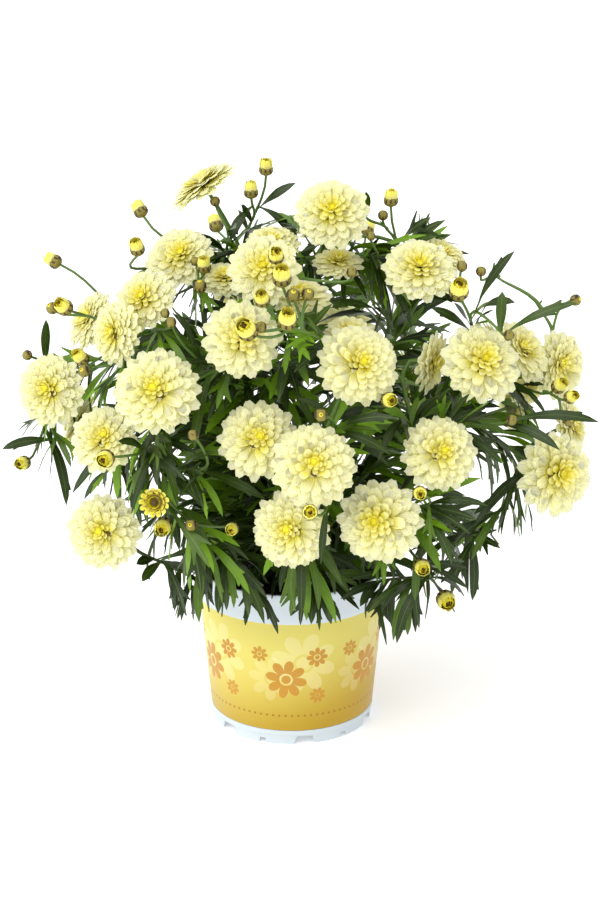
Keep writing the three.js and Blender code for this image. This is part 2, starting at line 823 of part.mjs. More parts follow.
function boxesMeet(a, b) {
  return [0, 1, 2].every((axis) => a.min[axis] < b.max[axis] && b.min[axis] < a.max[axis]);
}

function isClear(solid, others) {
  const box = solid.boundingBox();
  return others.every((other) => !boxesMeet(box, other.box) || solid.intersect(other.solid).isEmpty());
}

function withBox(solid) {
  return { solid, box: solid.boundingBox() };
}

// Assembly

const pot = meshOf("pot", potGeometry(), plasticWhite);
const sleeve = meshOf("sleeve", sleeveGeometry(), printedGold);
const soil = meshOf("soil", soilGeometry(stems.map((stem) => stem.root)), darkPeat);

const bloomMeshes = blooms.map((head, k) => {
  const mesh = meshOf(`bloom_${String(k + 1).padStart(2, "0")}`, bloomGeometry(head.kind, head.radius), petalCream);
  mesh.position.copy(head.seat);
  mesh.quaternion.setFromUnitVectors(UP, head.axis);
  mesh.updateMatrixWorld();
  return mesh;
});

const obstacles = [
  ...[pot, sleeve, soil].map((mesh) => withBox(solidOf(mesh.geometry))),
  ...bloomMeshes.map((mesh) => withBox(solidOf(mesh.geometry.clone().applyMatrix4(mesh.matrixWorld)))),
];

for (const stem of stems) {
  const stalks = stem.routes.map((route) => solidOf(stalkGeometry(route)));
  stem.frame = wasm.Manifold.union([solidOf(rootGeometry(stem.root)), ...stalks]);
}

// A leaf grows where it is clear of every other piece and crosses its own stem only at its root
const rootVolume = 5;
const leafSolids = [];
stems.forEach((stem, stemNumber) => {
  const frames = stems.filter((other) => other !== stem).map((other) => withBox(other.frame));
  const own = [];
  stemLeaves(stem, stemNumber).filter((leaf) => leaf.isKept).forEach((leaf) => {
    const keepOut = solidOf(leafGeometry(leaf, leafClearance));
    const solid = solidOf(leafGeometry(leaf));
    const neighbours = [...obstacles, ...frames, ...leafSolids];
    if (!isClear(keepOut, neighbours) || !isClear(solid, neighbours)) return;
    if (solid.intersect(stem.frame).volume() > rootVolume) return;
    own.push(solid);
    leafSolids.push(withBox(solid));
  });
  stem.solid = wasm.Manifold.union([stem.frame, ...own]);
});

const daisy = new THREE.Group();
daisy.add(pot, sleeve, soil, ...bloomMeshes);
stems.forEach((stem, k) => {
  daisy.add(meshOf(`leafy_stem_${String(k + 1).padStart(2, "0")}`, geometryOf(stem.solid), leafGreen));
});

export default daisy;
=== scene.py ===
"""Potted marguerite daisy: petals, leaves, buds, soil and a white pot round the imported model.

Metres, +Z up. The plant is laid out in millimetres, as it is in the model, and MM turns them to metres.
"""
import math
import random

import bmesh
import bpy
import numpy as np
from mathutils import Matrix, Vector


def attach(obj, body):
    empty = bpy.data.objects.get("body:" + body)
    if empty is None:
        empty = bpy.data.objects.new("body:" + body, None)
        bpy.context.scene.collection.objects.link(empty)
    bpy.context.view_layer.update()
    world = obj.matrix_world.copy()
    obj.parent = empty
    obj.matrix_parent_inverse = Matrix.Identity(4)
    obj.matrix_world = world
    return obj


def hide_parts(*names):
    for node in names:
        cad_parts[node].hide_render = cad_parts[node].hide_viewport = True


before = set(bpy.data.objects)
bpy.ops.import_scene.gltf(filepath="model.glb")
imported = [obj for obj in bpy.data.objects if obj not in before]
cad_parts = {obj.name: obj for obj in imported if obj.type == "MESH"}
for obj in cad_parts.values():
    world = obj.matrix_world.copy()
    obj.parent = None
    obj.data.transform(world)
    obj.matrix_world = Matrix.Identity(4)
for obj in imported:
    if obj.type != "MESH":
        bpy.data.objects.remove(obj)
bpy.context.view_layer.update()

MM = 0.001
UP = np.array([0.0, 0.0, 1.0])

# Where the photograph was taken from: millimetres, degrees, and its size and focal length in pixels
VIEW_DISTANCE = 1250
VIEW_HEIGHT = 595
VIEW_PITCH = 17.83
VIEW_PAN = 0.26
FOCAL = 1932
PHOTO_WIDTH, PHOTO_HEIGHT = 600, 900

# Pot and soil, millimetres
POT_HEIGHT = 113
RIM_RADIUS = 66.3
POT_WALL = 1.3
BAND_BOTTOM = 91.8
BAND_RADIUS = 65
LEDGE_TOP = 10.3
LEDGE_RADIUS = 56.9
SKIRT_HEIGHT = 6.8
SKIRT_RADIUS = 55.8
BASE_PLATE = 1.4
SLEEVE_THICKNESS = 0.5
SLEEVE_TOP_RADIUS = 64.1
SEAT_GAP = 0.3
SOIL_TOP = 104
SOIL_BUMP = 1.6
ROUND_STEPS = 120

# Stems and leaves, millimetres
TRUNK_RADIUS = 2.3
BRANCH_RADIUS = 1.35
STALK_RADIUS = 1.3
BUD_STALK_RADIUS = 0.85
ROOT_RADIUS = 2.9
CUP_LENGTH = 5
CUP_RADIUS = 5.2
LEAF_SPACING = 6.5
BARE_UNDER = {"bloom": 42, "bud": 36, "shoot": 2}
SHORTEST_LEAF = 16

# The body of a bloom, as shares of its radius: how far its middle lies before its seat, its depth,
# and the part of its face that no leaf may stand before
BLOOM_MIDDLE = 0.32
BLOOM_DEPTH = 0.62
FACE_SHARE = 0.85
# How far leaves keep off: millimetres before a bloom's face, and pixels round a bud for each
# millimetre of its radius
FACE_ROOM = 40
BUD_ROOM = 2.2

# Blooms that the photograph shows: the pixel of the middle, the depth behind (+) or before (-) the
# pot's axis, the diameter, the way the face looks (turn to the right, lift above level), and the kind
SEEN_BLOOMS = [
    (198, 177, 10, 48, -82, 57, "double"),
    (332, 209, -55, 46, 0, 35, "anemone"),
    (421, 264, -75, 45, 5, 45, "anemone"),
    (444, 250, -28, 34, 40, 60, "double"),
    (141, 296, -95, 39, -25, 35, "anemone"),
    (176, 252, -48, 43, -20, 42, "anemone"),
    (262, 267, -108, 43, -8, 28, "anemone"),
    (242, 337, -138, 46, 5, 26, "anemone"),
    (110, 333, -104, 39, -42, 12, "double"),
    (83, 317, -44, 39, -60, 30, "double"),
    (155, 389, -138, 51, -5, 28, "double"),
    (46, 390, -60, 45, -20, 15, "double"),
    (101, 437, -118, 41, -15, 30, "double"),
    (101, 533, -104, 47, -12, 14, "double"),
    (257, 439, -138, 47, -5, 24, "double"),
    (314, 466, -168, 49, 0, 18, "double"),
    (289, 531, -146, 47, -12, 10, "double"),
    (378, 523, -150, 50, -12, 14, "anemone"),
    (442, 452, -138, 45, 10, 25, "double"),
    (361, 362, -142, 49, 15, 30, "double"),
    (440, 365, -92, 38, 58, -6, "anemone"),
    (485, 360, -110, 49, 15, 32, "anemone"),
    (527, 347, -62, 42, 45, 40, "double"),
    (566, 366, -40, 44, 38, 10, "double"),
    (530, 381, -18, 32, 30, 10, "double"),
    (562, 475, -86, 52, 25, 12, "anemone"),
    (577, 425, -44, 38, 62, 20, "double"),
    (301, 290, -80, 38, 10, 66, "anemone"),
    (338, 257, -40, 32, 5, 66, "anemone"),
    (350, 328, -96, 30, 10, 62, "double"),
    (224, 274, -56, 30, 0, 60, "anemone"),
    (272, 238, -52, 34, 0, 62, "double"),
]

# Blooms of the side that it doesn't show: turn round the axis, distance, height, diameter, lift, kind
HIDDEN_BLOOMS = [
    (112, 176, 206, 46, 10, "double"),
    (146, 172, 204, 48, 12, "anemone"),
    (166, 190, 200, 46, 8, "double"),
    (213, 172, 206, 47, 14, "double"),
    (248, 168, 196, 45, 10, "anemone"),
    (98, 150, 262, 44, 32, "anemone"),
    (134, 136, 296, 46, 34, "double"),
    (163, 138, 250, 48, 30, "double"),
    (197, 134, 284, 45, 36, "anemone"),
    (230, 138, 276, 46, 32, "double"),
    (263, 142, 284, 42, 34, "double"),
    (122, 84, 318, 44, 58, "double"),
    (163, 76, 335, 46, 62, "anemone"),
    (238, 84, 318, 43, 58, "double"),
]

# Buds with showing petals: pixel, depth, diameter, turn and lift of the tip
SEEN_BUDS = [
    (54, 261, -20, 10, -100, 28),
    (140, 210, -20, 10, -120, 55),
    (137, 248, -74, 10, -20, 62),
    (266, 168, 8, 10, 0, 80),
    (251, 191, 0, 10, -20, 84),
    (391, 199, -12, 10, 0, 84),
    (262, 299, -150, 10, -5, 46),
    (287, 320, -160, 12, 5, 52),
    (247, 330, -170, 13, -20, 36),
    (64, 307, -92, 11, -35, 36),
    (81, 358, -96, 10, -45, 48),
    (459, 290, -118, 13, 0, 46),
    (576, 300, -26, 8, 62, 14),
    (559, 386, -84, 10, 30, 42),
    (389, 400, -144, 10, 15, 12),
    (310, 512, -186, 10, 0, 16),
    (420, 493, -168, 9, 0, 10),
    (422, 567, -140, 11, 5, 4),
    (446, 600, -112, 13, 8, 2),
    (571, 397, -98, 9, 30, 30),
    (105, 459, -152, 12, -5, 10),
    (23, 463, -58, 10, -20, 8),
    (155, 502, -136, 15, -8, 12),
    (163, 527, -126, 12, -5, 2),
]
# Those of the other side: turn round the axis, distance, height, diameter, lift
HIDDEN_BUDS = [
    (95, 176, 242, 10, 24),
    (129, 166, 240, 11, 24),
    (164, 170, 236, 10, 20),
    (232, 166, 238, 10, 22),
    (266, 174, 244, 10, 24),
    (150, 108, 326, 10, 52),
    (210, 106, 330, 11, 54),
]

# Young buds, which the model leaves to this script: pixel, depth, diameter, turn and lift
YOUNG_BUDS = [
    (215, 201, -6, 7, -30, 70),
    (383, 215, -16, 7, 0, 70),
    (365, 209, -20, 6, 0, 75),
    (276, 256, -132, 10, 0, 40),
    (204, 266, -72, 9.5, -10, 75),
    (195, 261, -68, 6, -30, 60),
    (200, 286, -84, 8.8, -10, 78),
    (282, 277, -138, 12, 0, 60),
    (293, 295, -142, 8.8, 10, 50),
    (308, 294, -140, 8, 20, 50),
    (261, 327, -162, 7, 0, 45),
    (52, 308, -80, 8, -50, 40),
    (84, 371, -116, 8, -30, 30),
    (27, 355, -40, 7, -60, 30),
    (171, 322, -124, 7, -10, 45),
    (165, 313, -120, 6, -20, 50),
    (462, 266, -104, 7, 10, 55),
    (481, 271, -50, 7, 10, 80),
    (509, 335, -116, 7, 20, 45),
    (352, 272, -112, 7, 0, 55),
    (371, 236, -62, 6, 10, 65),
    (385, 610, -86, 8, 0, 20),
    (569, 420, -104, 8, 30, 20),
    (191, 525, -130, 8, -10, 20),
    (232, 529, -132, 9, -10, 10),
    (193, 435, -150, 7, -10, 30),
    (321, 415, -172, 8, 0, 20),
    (512, 420, -122, 7, 20, 30),
]

# Leafy shoots with no bloom: pixel and depth of the tip, turn and lift of its direction
SEEN_SHOOTS = [
    (50, 446, -50, -88, 2),
    (120, 555, -70, -60, -20),
    (190, 590, -80, -35, -30),
    (250, 598, -100, -15, -35),
    (318, 600, -104, 5, -35),
    (372, 592, -100, 20, -30),
    (430, 580, -90, 40, -20),
    (500, 545, -60, 60, -10),
    (543, 300, -22, 60, 35),
    (495, 262, -40, 35, 55),
    (432, 226, 12, 20, 70),
    (305, 222, 0, 0, 80),
    (228, 226, -10, -20, 75),
    (205, 470, -130, -25, 5),
]
# Those of the other side: turn round the axis, distance, height, lift
HIDDEN_SHOOTS = [
    (105, 118, 128, -20),
    (145, 108, 124, -28),
    (180, 106, 122, -30),
    (215, 110, 124, -28),
    (255, 118, 128, -20),
]

# The main stems share out the low heads by their turn, and three more take those near the crown
SIDE_SECTORS = [-180, -105, -65, -32, -6, 20, 52, 108, 180]
CROWN_SECTORS = [-180, -12, 60, 180]
CROWN_FOOT = 150
CROWN_LIFT = 56
SIDE_ROOT_RADIUS = 24
CROWN_ROOT_RADIUS = 9

# The round crown that the leaves fill
CROWN_MIDDLE = 190
CROWN_RADIUS = 188
CROWN_HEIGHT = 196
LEAF_OVERHANG = 6

# The outline of the foliage as the photograph shows it, in pixels
FOLIAGE_OUTLINE = [
    (16, 426), (30, 350), (60, 340), (98, 342), (112, 296), (150, 250), (196, 224), (218, 216),
    (252, 196), (294, 190), (330, 215), (370, 220), (402, 206), (442, 213), (462, 246), (488, 256),
    (503, 242), (516, 290), (556, 294), (575, 302), (588, 345), (602, 412), (562, 440), (530, 480),
    (540, 536), (500, 540), (482, 562), (477, 614), (428, 628), (412, 640), (386, 652), (356, 612),
    (330, 632), (284, 636), (216, 618), (184, 634), (156, 586), (134, 572), (140, 530), (120, 500),
    (80, 506), (28, 474),
]

# Colours, red, green and blue from 0 to 1 as a camera shows them
CREAM = (0.985, 0.975, 0.69)
LEMON = (0.95, 0.90, 0.20)
# Painted shade for the ball that darkens a bloom's gap
GAP_SHADE = (0.40, 0.33, 0.05)
# Painted shade and painted light of the leaves, drawn at random for each leaf
LEAF_SHADE = (0.14, 0.21, 0.02)
LEAF_LIGHT = (0.42, 0.58, 0.05)
LEAF_LOW_SHADE = (0.11, 0.17, 0.03)
LEAF_RIB = (0.50, 0.60, 0.34)
LEAF_ROOT = (0.33, 0.45, 0.16)
STALK_LOW = (0.22, 0.27, 0.10)
STALK_HIGH = (0.34, 0.46, 0.17)
OUTER_BUD_ROOT, OUTER_BUD_TIP = (0.92, 0.88, 0.52), (0.98, 0.95, 0.42)
INNER_BUD_ROOT, INNER_BUD_TIP = (0.66, 0.58, 0.06), (0.97, 0.90, 0.14)
CUP_GREEN, CUP_EDGE = (0.30, 0.36, 0.14), (0.36, 0.30, 0.14)
BUD_OLIVE, BUD_EDGE = (0.52, 0.48, 0.18), (0.20, 0.08, 0.06)
# Painted shade for the heart of an open bud, where its hole shows dark
BUD_HOLE_SHADE = (0.30, 0.22, 0.04)
POT_WHITE = (0.785, 0.825, 0.85)
GOLD = (0.70, 0.56, 0.05)
PALE_GOLD = (0.85, 0.80, 0.40)
AMBER = (0.74, 0.53, 0.15)
PALE_PRINT = (0.98, 0.96, 0.84)
DOT_INK = (0.62, 0.45, 0.06)
PEAT = (0.15, 0.11, 0.08)
FLOOR_WHITE = (0.99, 0.99, 0.99)


def linear(color):
    """A shown colour as the four numbers that a shader takes."""
    return tuple(c / 12.92 if c < 0.04045 else ((c + 0.055) / 1.055) ** 2.4 for c in color) + (1.0,)


# Places and directions

def chance(number):
    """A repeatable number between 0 and 1, the same as the model's."""
    wave = math.sin(number * 12.9898 + 78.233) * 43758.5453
    return wave - math.floor(wave)


def unit(vector):
    return vector / np.linalg.norm(vector)


def facing(turn, lift):
    """The direction that is turned to the right of the photograph's side and lifted above level."""
    t, l = math.radians(turn), math.radians(lift)
    return np.array([math.sin(t) * math.cos(l), -math.cos(t) * math.cos(l), math.sin(l)])


def camera_axes():
    """The eye, and the camera's forward, right and up directions."""
    pitch, pan = math.radians(VIEW_PITCH), math.radians(VIEW_PAN)
    eye = np.array([0.0, -VIEW_DISTANCE, VIEW_HEIGHT])
    ahead = np.array([math.sin(pan), math.cos(pan), 0.0])
    forward = ahead * math.cos(pitch) - UP * math.sin(pitch)
    above = ahead * math.sin(pitch) + UP * math.cos(pitch)
    right = np.array([math.cos(pan), -math.sin(pan), 0.0])
    return eye, forward, right, above


def on_sight(x, y, depth):
    """The point where the line of sight through a pixel reaches a depth."""
    eye, forward, right, above = camera_axes()
    ray = forward + right * (x - PHOTO_WIDTH / 2) / FOCAL + above * (PHOTO_HEIGHT / 2 - y) / FOCAL
    return eye + ray * (depth - eye[1]) / ray[1]


def pixels_of(points):
    """Where points show in the photograph."""
    eye, forward, right, above = camera_axes()
    offset = np.atleast_2d(points) - eye
    scale = FOCAL / (offset @ forward)
    x = PHOTO_WIDTH / 2 + (offset @ right) * scale
    y = PHOTO_HEIGHT / 2 - (offset @ above) * scale
    return np.stack([x, y], 1)


def in_outline(points):
    """Whether all points show inside the outline of the foliage."""
    x, y = pixels_of(points).T
    inside = np.zeros(len(x), bool)
    for (ax, ay), (bx, by) in zip(FOLIAGE_OUTLINE, FOLIAGE_OUTLINE[1:] + FOLIAGE_OUTLINE[:1]):
        if ay != by:
            inside ^= ((ay > y) != (by > y)) & (x < ax + (y - ay) * (bx - ax) / (by - ay))
    return bool(inside.all())


def on_ring(turn, radius, height):
    """The point at a turn round the pot's axis."""
    return facing(turn, 0) * radius + UP * height


# Heads: what the stems carry

def bloom_head(middle, diameter, axis, kind):
    radius = diameter / 2
    seat = middle - axis * BLOOM_MIDDLE * radius
    return {"type": "bloom", "seat": seat, "axis": axis, "radius": radius, "kind": kind}


def plain_head(kind, seat, axis, radius):
    return {"type": kind, "seat": seat, "axis": axis, "radius": radius}


blooms = [bloom_head(on_sight(x, y, depth), diameter, facing(turn, lift), kind)
          for x, y, depth, diameter, turn, lift, kind in SEEN_BLOOMS]
blooms += [bloom_head(on_ring(turn, radius, height), diameter, facing(turn, lift), kind)
           for turn, radius, height, diameter, lift, kind in HIDDEN_BLOOMS]
buds = [plain_head("bud", on_sight(x, y, depth), facing(turn, lift), diameter / 2)
        for x, y, depth, diameter, turn, lift in SEEN_BUDS]
buds += [plain_head("bud", on_ring(turn, distance, height), facing(turn, lift), diameter / 2)
         for turn, distance, height, diameter, lift in HIDDEN_BUDS]
shoots = [plain_head("shoot", on_sight(x, y, depth), facing(turn, lift), 1)
          for x, y, depth, turn, lift in SEEN_SHOOTS]
shoots += [plain_head("shoot", on_ring(turn, distance, height), facing(turn, lift), 1)
           for turn, distance, height, lift in HIDDEN_SHOOTS]
young_buds = [plain_head("bud", on_sight(x, y, depth), facing(turn, lift), diameter / 2)
              for x, y, depth, diameter, turn, lift in YOUNG_BUDS]


def sector_of(edges, turn):
    return next(k for k, edge in enumerate(edges) if turn < edge) - 1


def stem_index(head):
    """Which main stem carries a head."""
    x, y, z = head["seat"]
    turn = (math.degrees(math.atan2(x, -y)) + 180) % 360 - 180
    lift = math.degrees(math.atan2(z - CROWN_FOOT, math.hypot(x, y)))
    if lift > CROWN_LIFT:
        return len(SIDE_SECTORS) - 1 + sector_of(CROWN_SECTORS, turn)
    return sector_of(SIDE_SECTORS, turn)


# Branches

# A branch leaves its fork and meets its head straight, for a share of the span between them. In the
# model it has a straight step for so many millimetres of length and so many radians of turning.
REACH_SHARE = 0.36
STALK_STEP = 90
TURN_STEP = 1.2
MOST_STEPS = 5
STEM_START = 1.5

# Forks lie between two shares of a branch. The cheapest ones are tried, and a bent or falling branch
# costs more than its length.
FIRST_FORK, LAST_FORK, FORK_STEP = 0.2, 0.86, 0.06
FORK_CHOICES = 5
SHORTEST_BRANCH = 22
BEND_COST = 0.9
DROP_COST = 0.5

# What a branch keeps clear of, millimetres: the belt inside and outside the rim's edge, over which it
# passes, and its height over the rim and the soil. The end of it may come near its own bloom.
ROUTE_SAMPLES = 12
ROOM_ENOUGH = 1
NEAR_HEAD = 0.8
RIM_BELT, PAST_RIM = 9, 5
OVER_RIM, OVER_SOIL = 3, 5

# Sideways and upward bows that a branch tries in turn, millimetres. A young bud tries the first few.
YOUNG_BOWS = 5
BOWS = [
    (0, 0), (9, 0), (-9, 0), (0, 9), (0, -9), (18, 0), (-18, 0),
    (13, 13), (-13, 13), (13, -13), (-13, -13), (0, 18), (27, 0), (-27, 0),
]


class Branch:
    """A bent branch from a fork to a head: a cubic curve measured along its length."""

    def __init__(self, corners):
        self.corners = np.array(corners)
        self.steps = np.linspace(0, 1, 201)
        pieces = np.linalg.norm(np.diff(self.at(self.steps), axis=0), axis=1)
        self.lengths = np.concatenate([[0], np.cumsum(pieces)])
        self.length = self.lengths[-1]

    def at(self, t):
        t = np.atleast_1d(t)[:, None]
        a, b, c, d = self.corners
        return a * (1 - t) ** 3 + b * 3 * t * (1 - t) ** 2 + c * 3 * t ** 2 * (1 - t) + d * t ** 3

    def parameter(self, shares):
        return np.interp(np.asarray(shares) * self.length, self.lengths, self.steps)

    def points(self, shares):
        return self.at(self.parameter(shares))

    def heading(self, share):
        t = float(self.parameter(share))
        ends = self.at(np.clip([t - 1e-4, t + 1e-4], 0, 1))
        return unit(ends[1] - ends[0])


def stalk_end(head):
    """Where the stalk of a head ends: under the cup of a bloom, or at the foot of a bud."""
    back = SEAT_GAP + CUP_LENGTH if head["type"] == "bloom" else head["radius"]
    return head["seat"] - head["axis"] * back


def branch_curve(fork, head, bow):
    """The branch from a fork to the foot of a head, pulled aside and up by a bow."""
    end = stalk_end(head)
    span = end - fork["start"]
    reach = np.linalg.norm(span) * REACH_SHARE
    aside = unit(np.cross(span, UP))
    rise = unit(np.cross(aside, span))
    pull = aside * bow[0] + rise * bow[1]
    return Branch([fork["start"], fork["start"] + fork["heading"] * reach + pull,
                   end - head["axis"] * reach + pull, end])


BLOOM_SEATS = np.array([bloom["seat"] for bloom in blooms])
BLOOM_AXES = np.array([bloom["axis"] for bloom in blooms])
BLOOM_RADII = np.array([bloom["radius"] for bloom in blooms])
BUD_SEATS = np.array([bud["seat"] for bud in buds])
BUD_RADII = np.array([bud["radius"] for bud in buds])


def by_blooms(points):
    """For each point, how far out it lies from the axis of each bloom and how far up along it."""
    offset = points[:, None] - BLOOM_SEATS[None]
    rise = np.einsum("pbk,bk->pb", offset, BLOOM_AXES)
    return np.sqrt(np.maximum(0, (offset ** 2).sum(2) - rise ** 2)), rise


def outside_blooms(points):
    """For each point, how far it stays outside the flat round body of each bloom."""
    reach, rise = by_blooms(points)
    return np.maximum(np.maximum(reach - BLOOM_RADII, -CUP_LENGTH - rise), rise - BLOOM_RADII * BLOOM_DEPTH)


def shades_bloom(points):
    """Whether any point stands close before the face of a bloom."""
    reach, rise = by_blooms(points)
    return bool(((reach < FACE_SHARE * BLOOM_RADII) & (rise > 0) & (rise < FACE_ROOM)).any())


def hides_bud(points):
    """Whether any point hides a bud from the camera, or touches it."""
    apart = np.linalg.norm(pixels_of(points)[:, None] - pixels_of(BUD_SEATS)[None], axis=2)
    nearer = points[:, None, 1] < BUD_SEATS[None, :, 1] + 2 * BUD_RADII
    return bool(((apart < BUD_ROOM * BUD_RADII) & nearer).any())


def chord_points(curve):
    """A stalk of the model is straight between its steps, of which a bent one has more."""
    headings = [curve.heading(share) for share in (0, 0.25, 0.5, 0.75, 1)]
    turning = sum(math.acos(min(1, max(-1, float(a @ b)))) for a, b in zip(headings, headings[1:]))
    steps = 1 + math.floor(curve.length / STALK_STEP + turning / TURN_STEP + 0.5)
    return curve.points(np.linspace(0, 1, min(steps, MOST_STEPS) + 1))


def on_chords(points, shares):
    """Points at shares of a line of straight steps."""
    steps = len(points) - 1
    places = np.asarray(shares) * steps
    step = np.minimum(np.floor(places).astype(int), steps - 1)
    return points[step] + (points[step + 1] - points[step]) * (places - step)[..., None]


def above_ground(points):
    """How far each point stays above the soil, or above the rim where it passes over it."""
    reach = np.hypot(points[:, 0], points[:, 1])
    floor = np.where(reach > RIM_RADIUS - RIM_BELT, POT_HEIGHT + OVER_RIM, SOIL_TOP + OVER_SOIL)
    return np.where(reach > RIM_RADIUS + PAST_RIM, np.inf, points[:, 2] - floor)


def route_clearance(points, head, stem, others):
    """How far a route stays clear of the soil and rim, the blooms and the other stems' routes."""
    samples = on_chords(points, np.arange(1, ROUTE_SAMPLES + 1) / ROUTE_SAMPLES)
    near_head = np.arange(1, ROUTE_SAMPLES + 1) > ROUTE_SAMPLES * NEAR_HEAD
    thickness = np.where(near_head & (head["type"] == "bud"), head["radius"], BRANCH_RADIUS)
    clear = outside_blooms(samples) - thickness[:, None]
    if head["type"] == "bloom":
        own = next(k for k, bloom in enumerate(blooms) if bloom is head)
        clear[near_head, own] = np.inf
    clearance = clear.min()
    if head is not stem["heads"][0]:
        clearance = min(clearance, above_ground(samples).min())
    if len(others):
        apart = np.sqrt(((samples[:, None] - others[None]) ** 2).sum(2)).min()
        clearance = min(clearance, apart - 2 * TRUNK_RADIUS)
    return clearance


def forks_for(stem, head):
    """The cheapest places on a stem's branches for the branch of a head to start from."""
    forks = []
    for route in stem["routes"]:
        share = FIRST_FORK
        while share < LAST_FORK:
            start = on_chords(route["points"], share)
            heading = route["curve"].heading(share)
            span = head["seat"] - start
            length = np.linalg.norm(span)
            if length >= SHORTEST_BRANCH:
                bend = 1 - float(span @ heading) / length
                drop = max(0, start[2] - head["seat"][2]) * DROP_COST
                cost = length * (1 + BEND_COST * bend) + drop
                forks.append({"start": start, "heading": heading, "cost": cost})
            share += FORK_STEP
    return sorted(forks, key=lambda fork: fork["cost"])[:FORK_CHOICES]


def grow_route(stem, head, forks, others, bows):
    """The first route with room enough, or else the one with the most room."""
    best = None
    for fork in forks:
        for bow in bows:
            curve = branch_curve(fork, head, bow)
            points = chord_points(curve)
            clearance = route_clearance(points, head, stem, others)
            if best is None or clearance > best["clearance"]:
                best = {"curve": curve, "points": points, "clearance": clearance}
            if clearance > ROOM_ENOUGH:
                return best
    return best


def add_route(stem, stems, head, bows=BOWS):
    """Grows the branch of a head on a stem. The first one rises from the soil and is the trunk."""
    is_trunk = not stem["routes"]
    foot = {"start": stem["root"] * [1, 1, 0] + UP * (SOIL_TOP + STEM_START), "heading": UP}
    forks = [foot] if is_trunk else forks_for(stem, head)
    spots = [other["spots"] for other in stems if other is not stem and len(other["spots"])]
    others = np.concatenate(spots) if spots else np.zeros((0, 3))
    route = {**grow_route(stem, head, forks, others, bows), "head": head, "is_trunk": is_trunk}
    stem["routes"].append(route)
    places = on_chords(route["points"], np.linspace(0, 1, 2 * ROUTE_SAMPLES + 1))
    stem["spots"] = np.concatenate([stem["spots"], places])


def root_ring(sectors, radius):
    """The roots of main stems, each in the middle of its sector."""
    return [on_ring((a + b) / 2, radius, SOIL_TOP) for a, b in zip(sectors, sectors[1:])]


def grow_stems():
    """The main stems with their routes, first those of the model and then the young buds'."""
    roots = root_ring(SIDE_SECTORS, SIDE_ROOT_RADIUS) + root_ring(CROWN_SECTORS, CROWN_ROOT_RADIUS)
    stems = [{"root": root, "heads": [], "routes": [], "spots": np.zeros((0, 3))} for root in roots]
    for head in blooms + buds + shoots:
        stems[stem_index(head)]["heads"].append(head)
    for stem in stems:
        for head in stem["heads"]:
            add_route(stem, stems, head)
    for head in young_buds:
        add_route(stems[stem_index(head)], stems, head, BOWS[:YOUNG_BOWS])
    return stems


# Mesh tools

# Angles between faces past which an edge stays sharp, degrees
SHARP_COPY = 50
SHARP_STALK = 60
SHARP_POT = 40
SHARP_SOIL = 35


def activate(made):
    """Selects one object and nothing else."""
    bpy.ops.object.select_all(action="DESELECT")
    made.select_set(True)
    bpy.context.view_layer.objects.active = made


def add_object(name, data):
    made = bpy.data.objects.new(name, data)
    bpy.context.scene.collection.objects.link(made)
    return made


def smooth(made, sharp_angle):
    activate(made)
    bpy.ops.object.shade_smooth_by_angle(angle=math.radians(sharp_angle))


def newest(name):
    """The object that was just added, with its name."""
    made = bpy.context.active_object
    made.name = name
    return made


def open_mesh(made):
    activate(made)
    bpy.ops.object.mode_set(mode="EDIT")
    bpy.ops.mesh.select_all(action="DESELECT")


def close_mesh():
    bpy.ops.object.mode_set(mode="OBJECT")


def pick(made, kind, test):
    """Selects the vertices or faces whose middle passes the test, and nothing else."""
    bpy.ops.mesh.select_mode(type=kind)
    bpy.ops.mesh.select_all(action="DESELECT")
    shape = bmesh.from_edit_mesh(made.data)
    for item in shape.verts if kind == "VERT" else shape.faces:
        middle = item.co if kind == "VERT" else item.calc_center_median()
        if test(middle):
            item.select_set(True)
    shape.select_flush_mode()
    bmesh.update_edit_mesh(made.data)


def middle_of_picked(made):
    shape = bmesh.from_edit_mesh(made.data)
    places = [v.co for v in shape.verts if v.select]
    return tuple(sum(places, Vector()) / len(places))


def apply_modifier(made, kind, **values):
    activate(made)
    modifier = made.modifiers.new(kind.lower(), kind)
    for key, value in values.items():
        setattr(modifier, key, value)
    bpy.ops.object.modifier_apply(modifier=modifier.name)


def draw_outline(name, outline):
    """A line of edges through (radius, height) pairs, one vertex pulled out of the one before."""
    bpy.ops.mesh.primitive_plane_add(size=1)
    made = newest(name)
    open_mesh(made)
    bpy.ops.mesh.select_mode(type="VERT")
    bpy.ops.mesh.select_all(action="SELECT")
    bpy.ops.mesh.merge(type="CENTER")
    bpy.ops.mesh.select_all(action="SELECT")
    bpy.ops.transform.translate(value=(outline[0][0], 0, outline[0][1]))
    for (radius, height), (next_radius, next_height) in zip(outline, outline[1:]):
        step = (next_radius - radius, 0, next_height - height)
        bpy.ops.mesh.extrude_region_move(TRANSFORM_OT_translate={"value": step})
    close_mesh()
    return made


def spin_round(made, segments):
    """Turns an outline about the upright axis into a closed skin that faces outwards."""
    open_mesh(made)
    bpy.ops.mesh.select_all(action="SELECT")
    bpy.ops.mesh.spin(steps=segments, angle=2 * math.pi, center=(0, 0, 0), axis=(0, 0, 1))
    bpy.ops.mesh.select_all(action="SELECT")
    bpy.ops.mesh.remove_doubles(threshold=1e-5)
    bpy.ops.mesh.normals_make_consistent(inside=False)
    close_mesh()


class Pattern:
    """A small shape that is modelled once and copied: points as across, along and up, each with the
    share along and across it, and faces."""

    def __init__(self, made):
        mesh = made.data
        self.points = np.array([v.co for v in mesh.vertices])
        self.corners = np.array([corner for face in mesh.polygons for corner in face.vertices])
        self.flipped = np.array([corner for face in mesh.polygons for corner in reversed(face.vertices)])
        self.sizes = np.array([face.loop_total for face in mesh.polygons])
        along = self.points[:, 1]
        across = np.abs(self.points[:, 0])
        self.along = along / along.max()
        self.across = across / across.max()
        bpy.data.objects.remove(made)


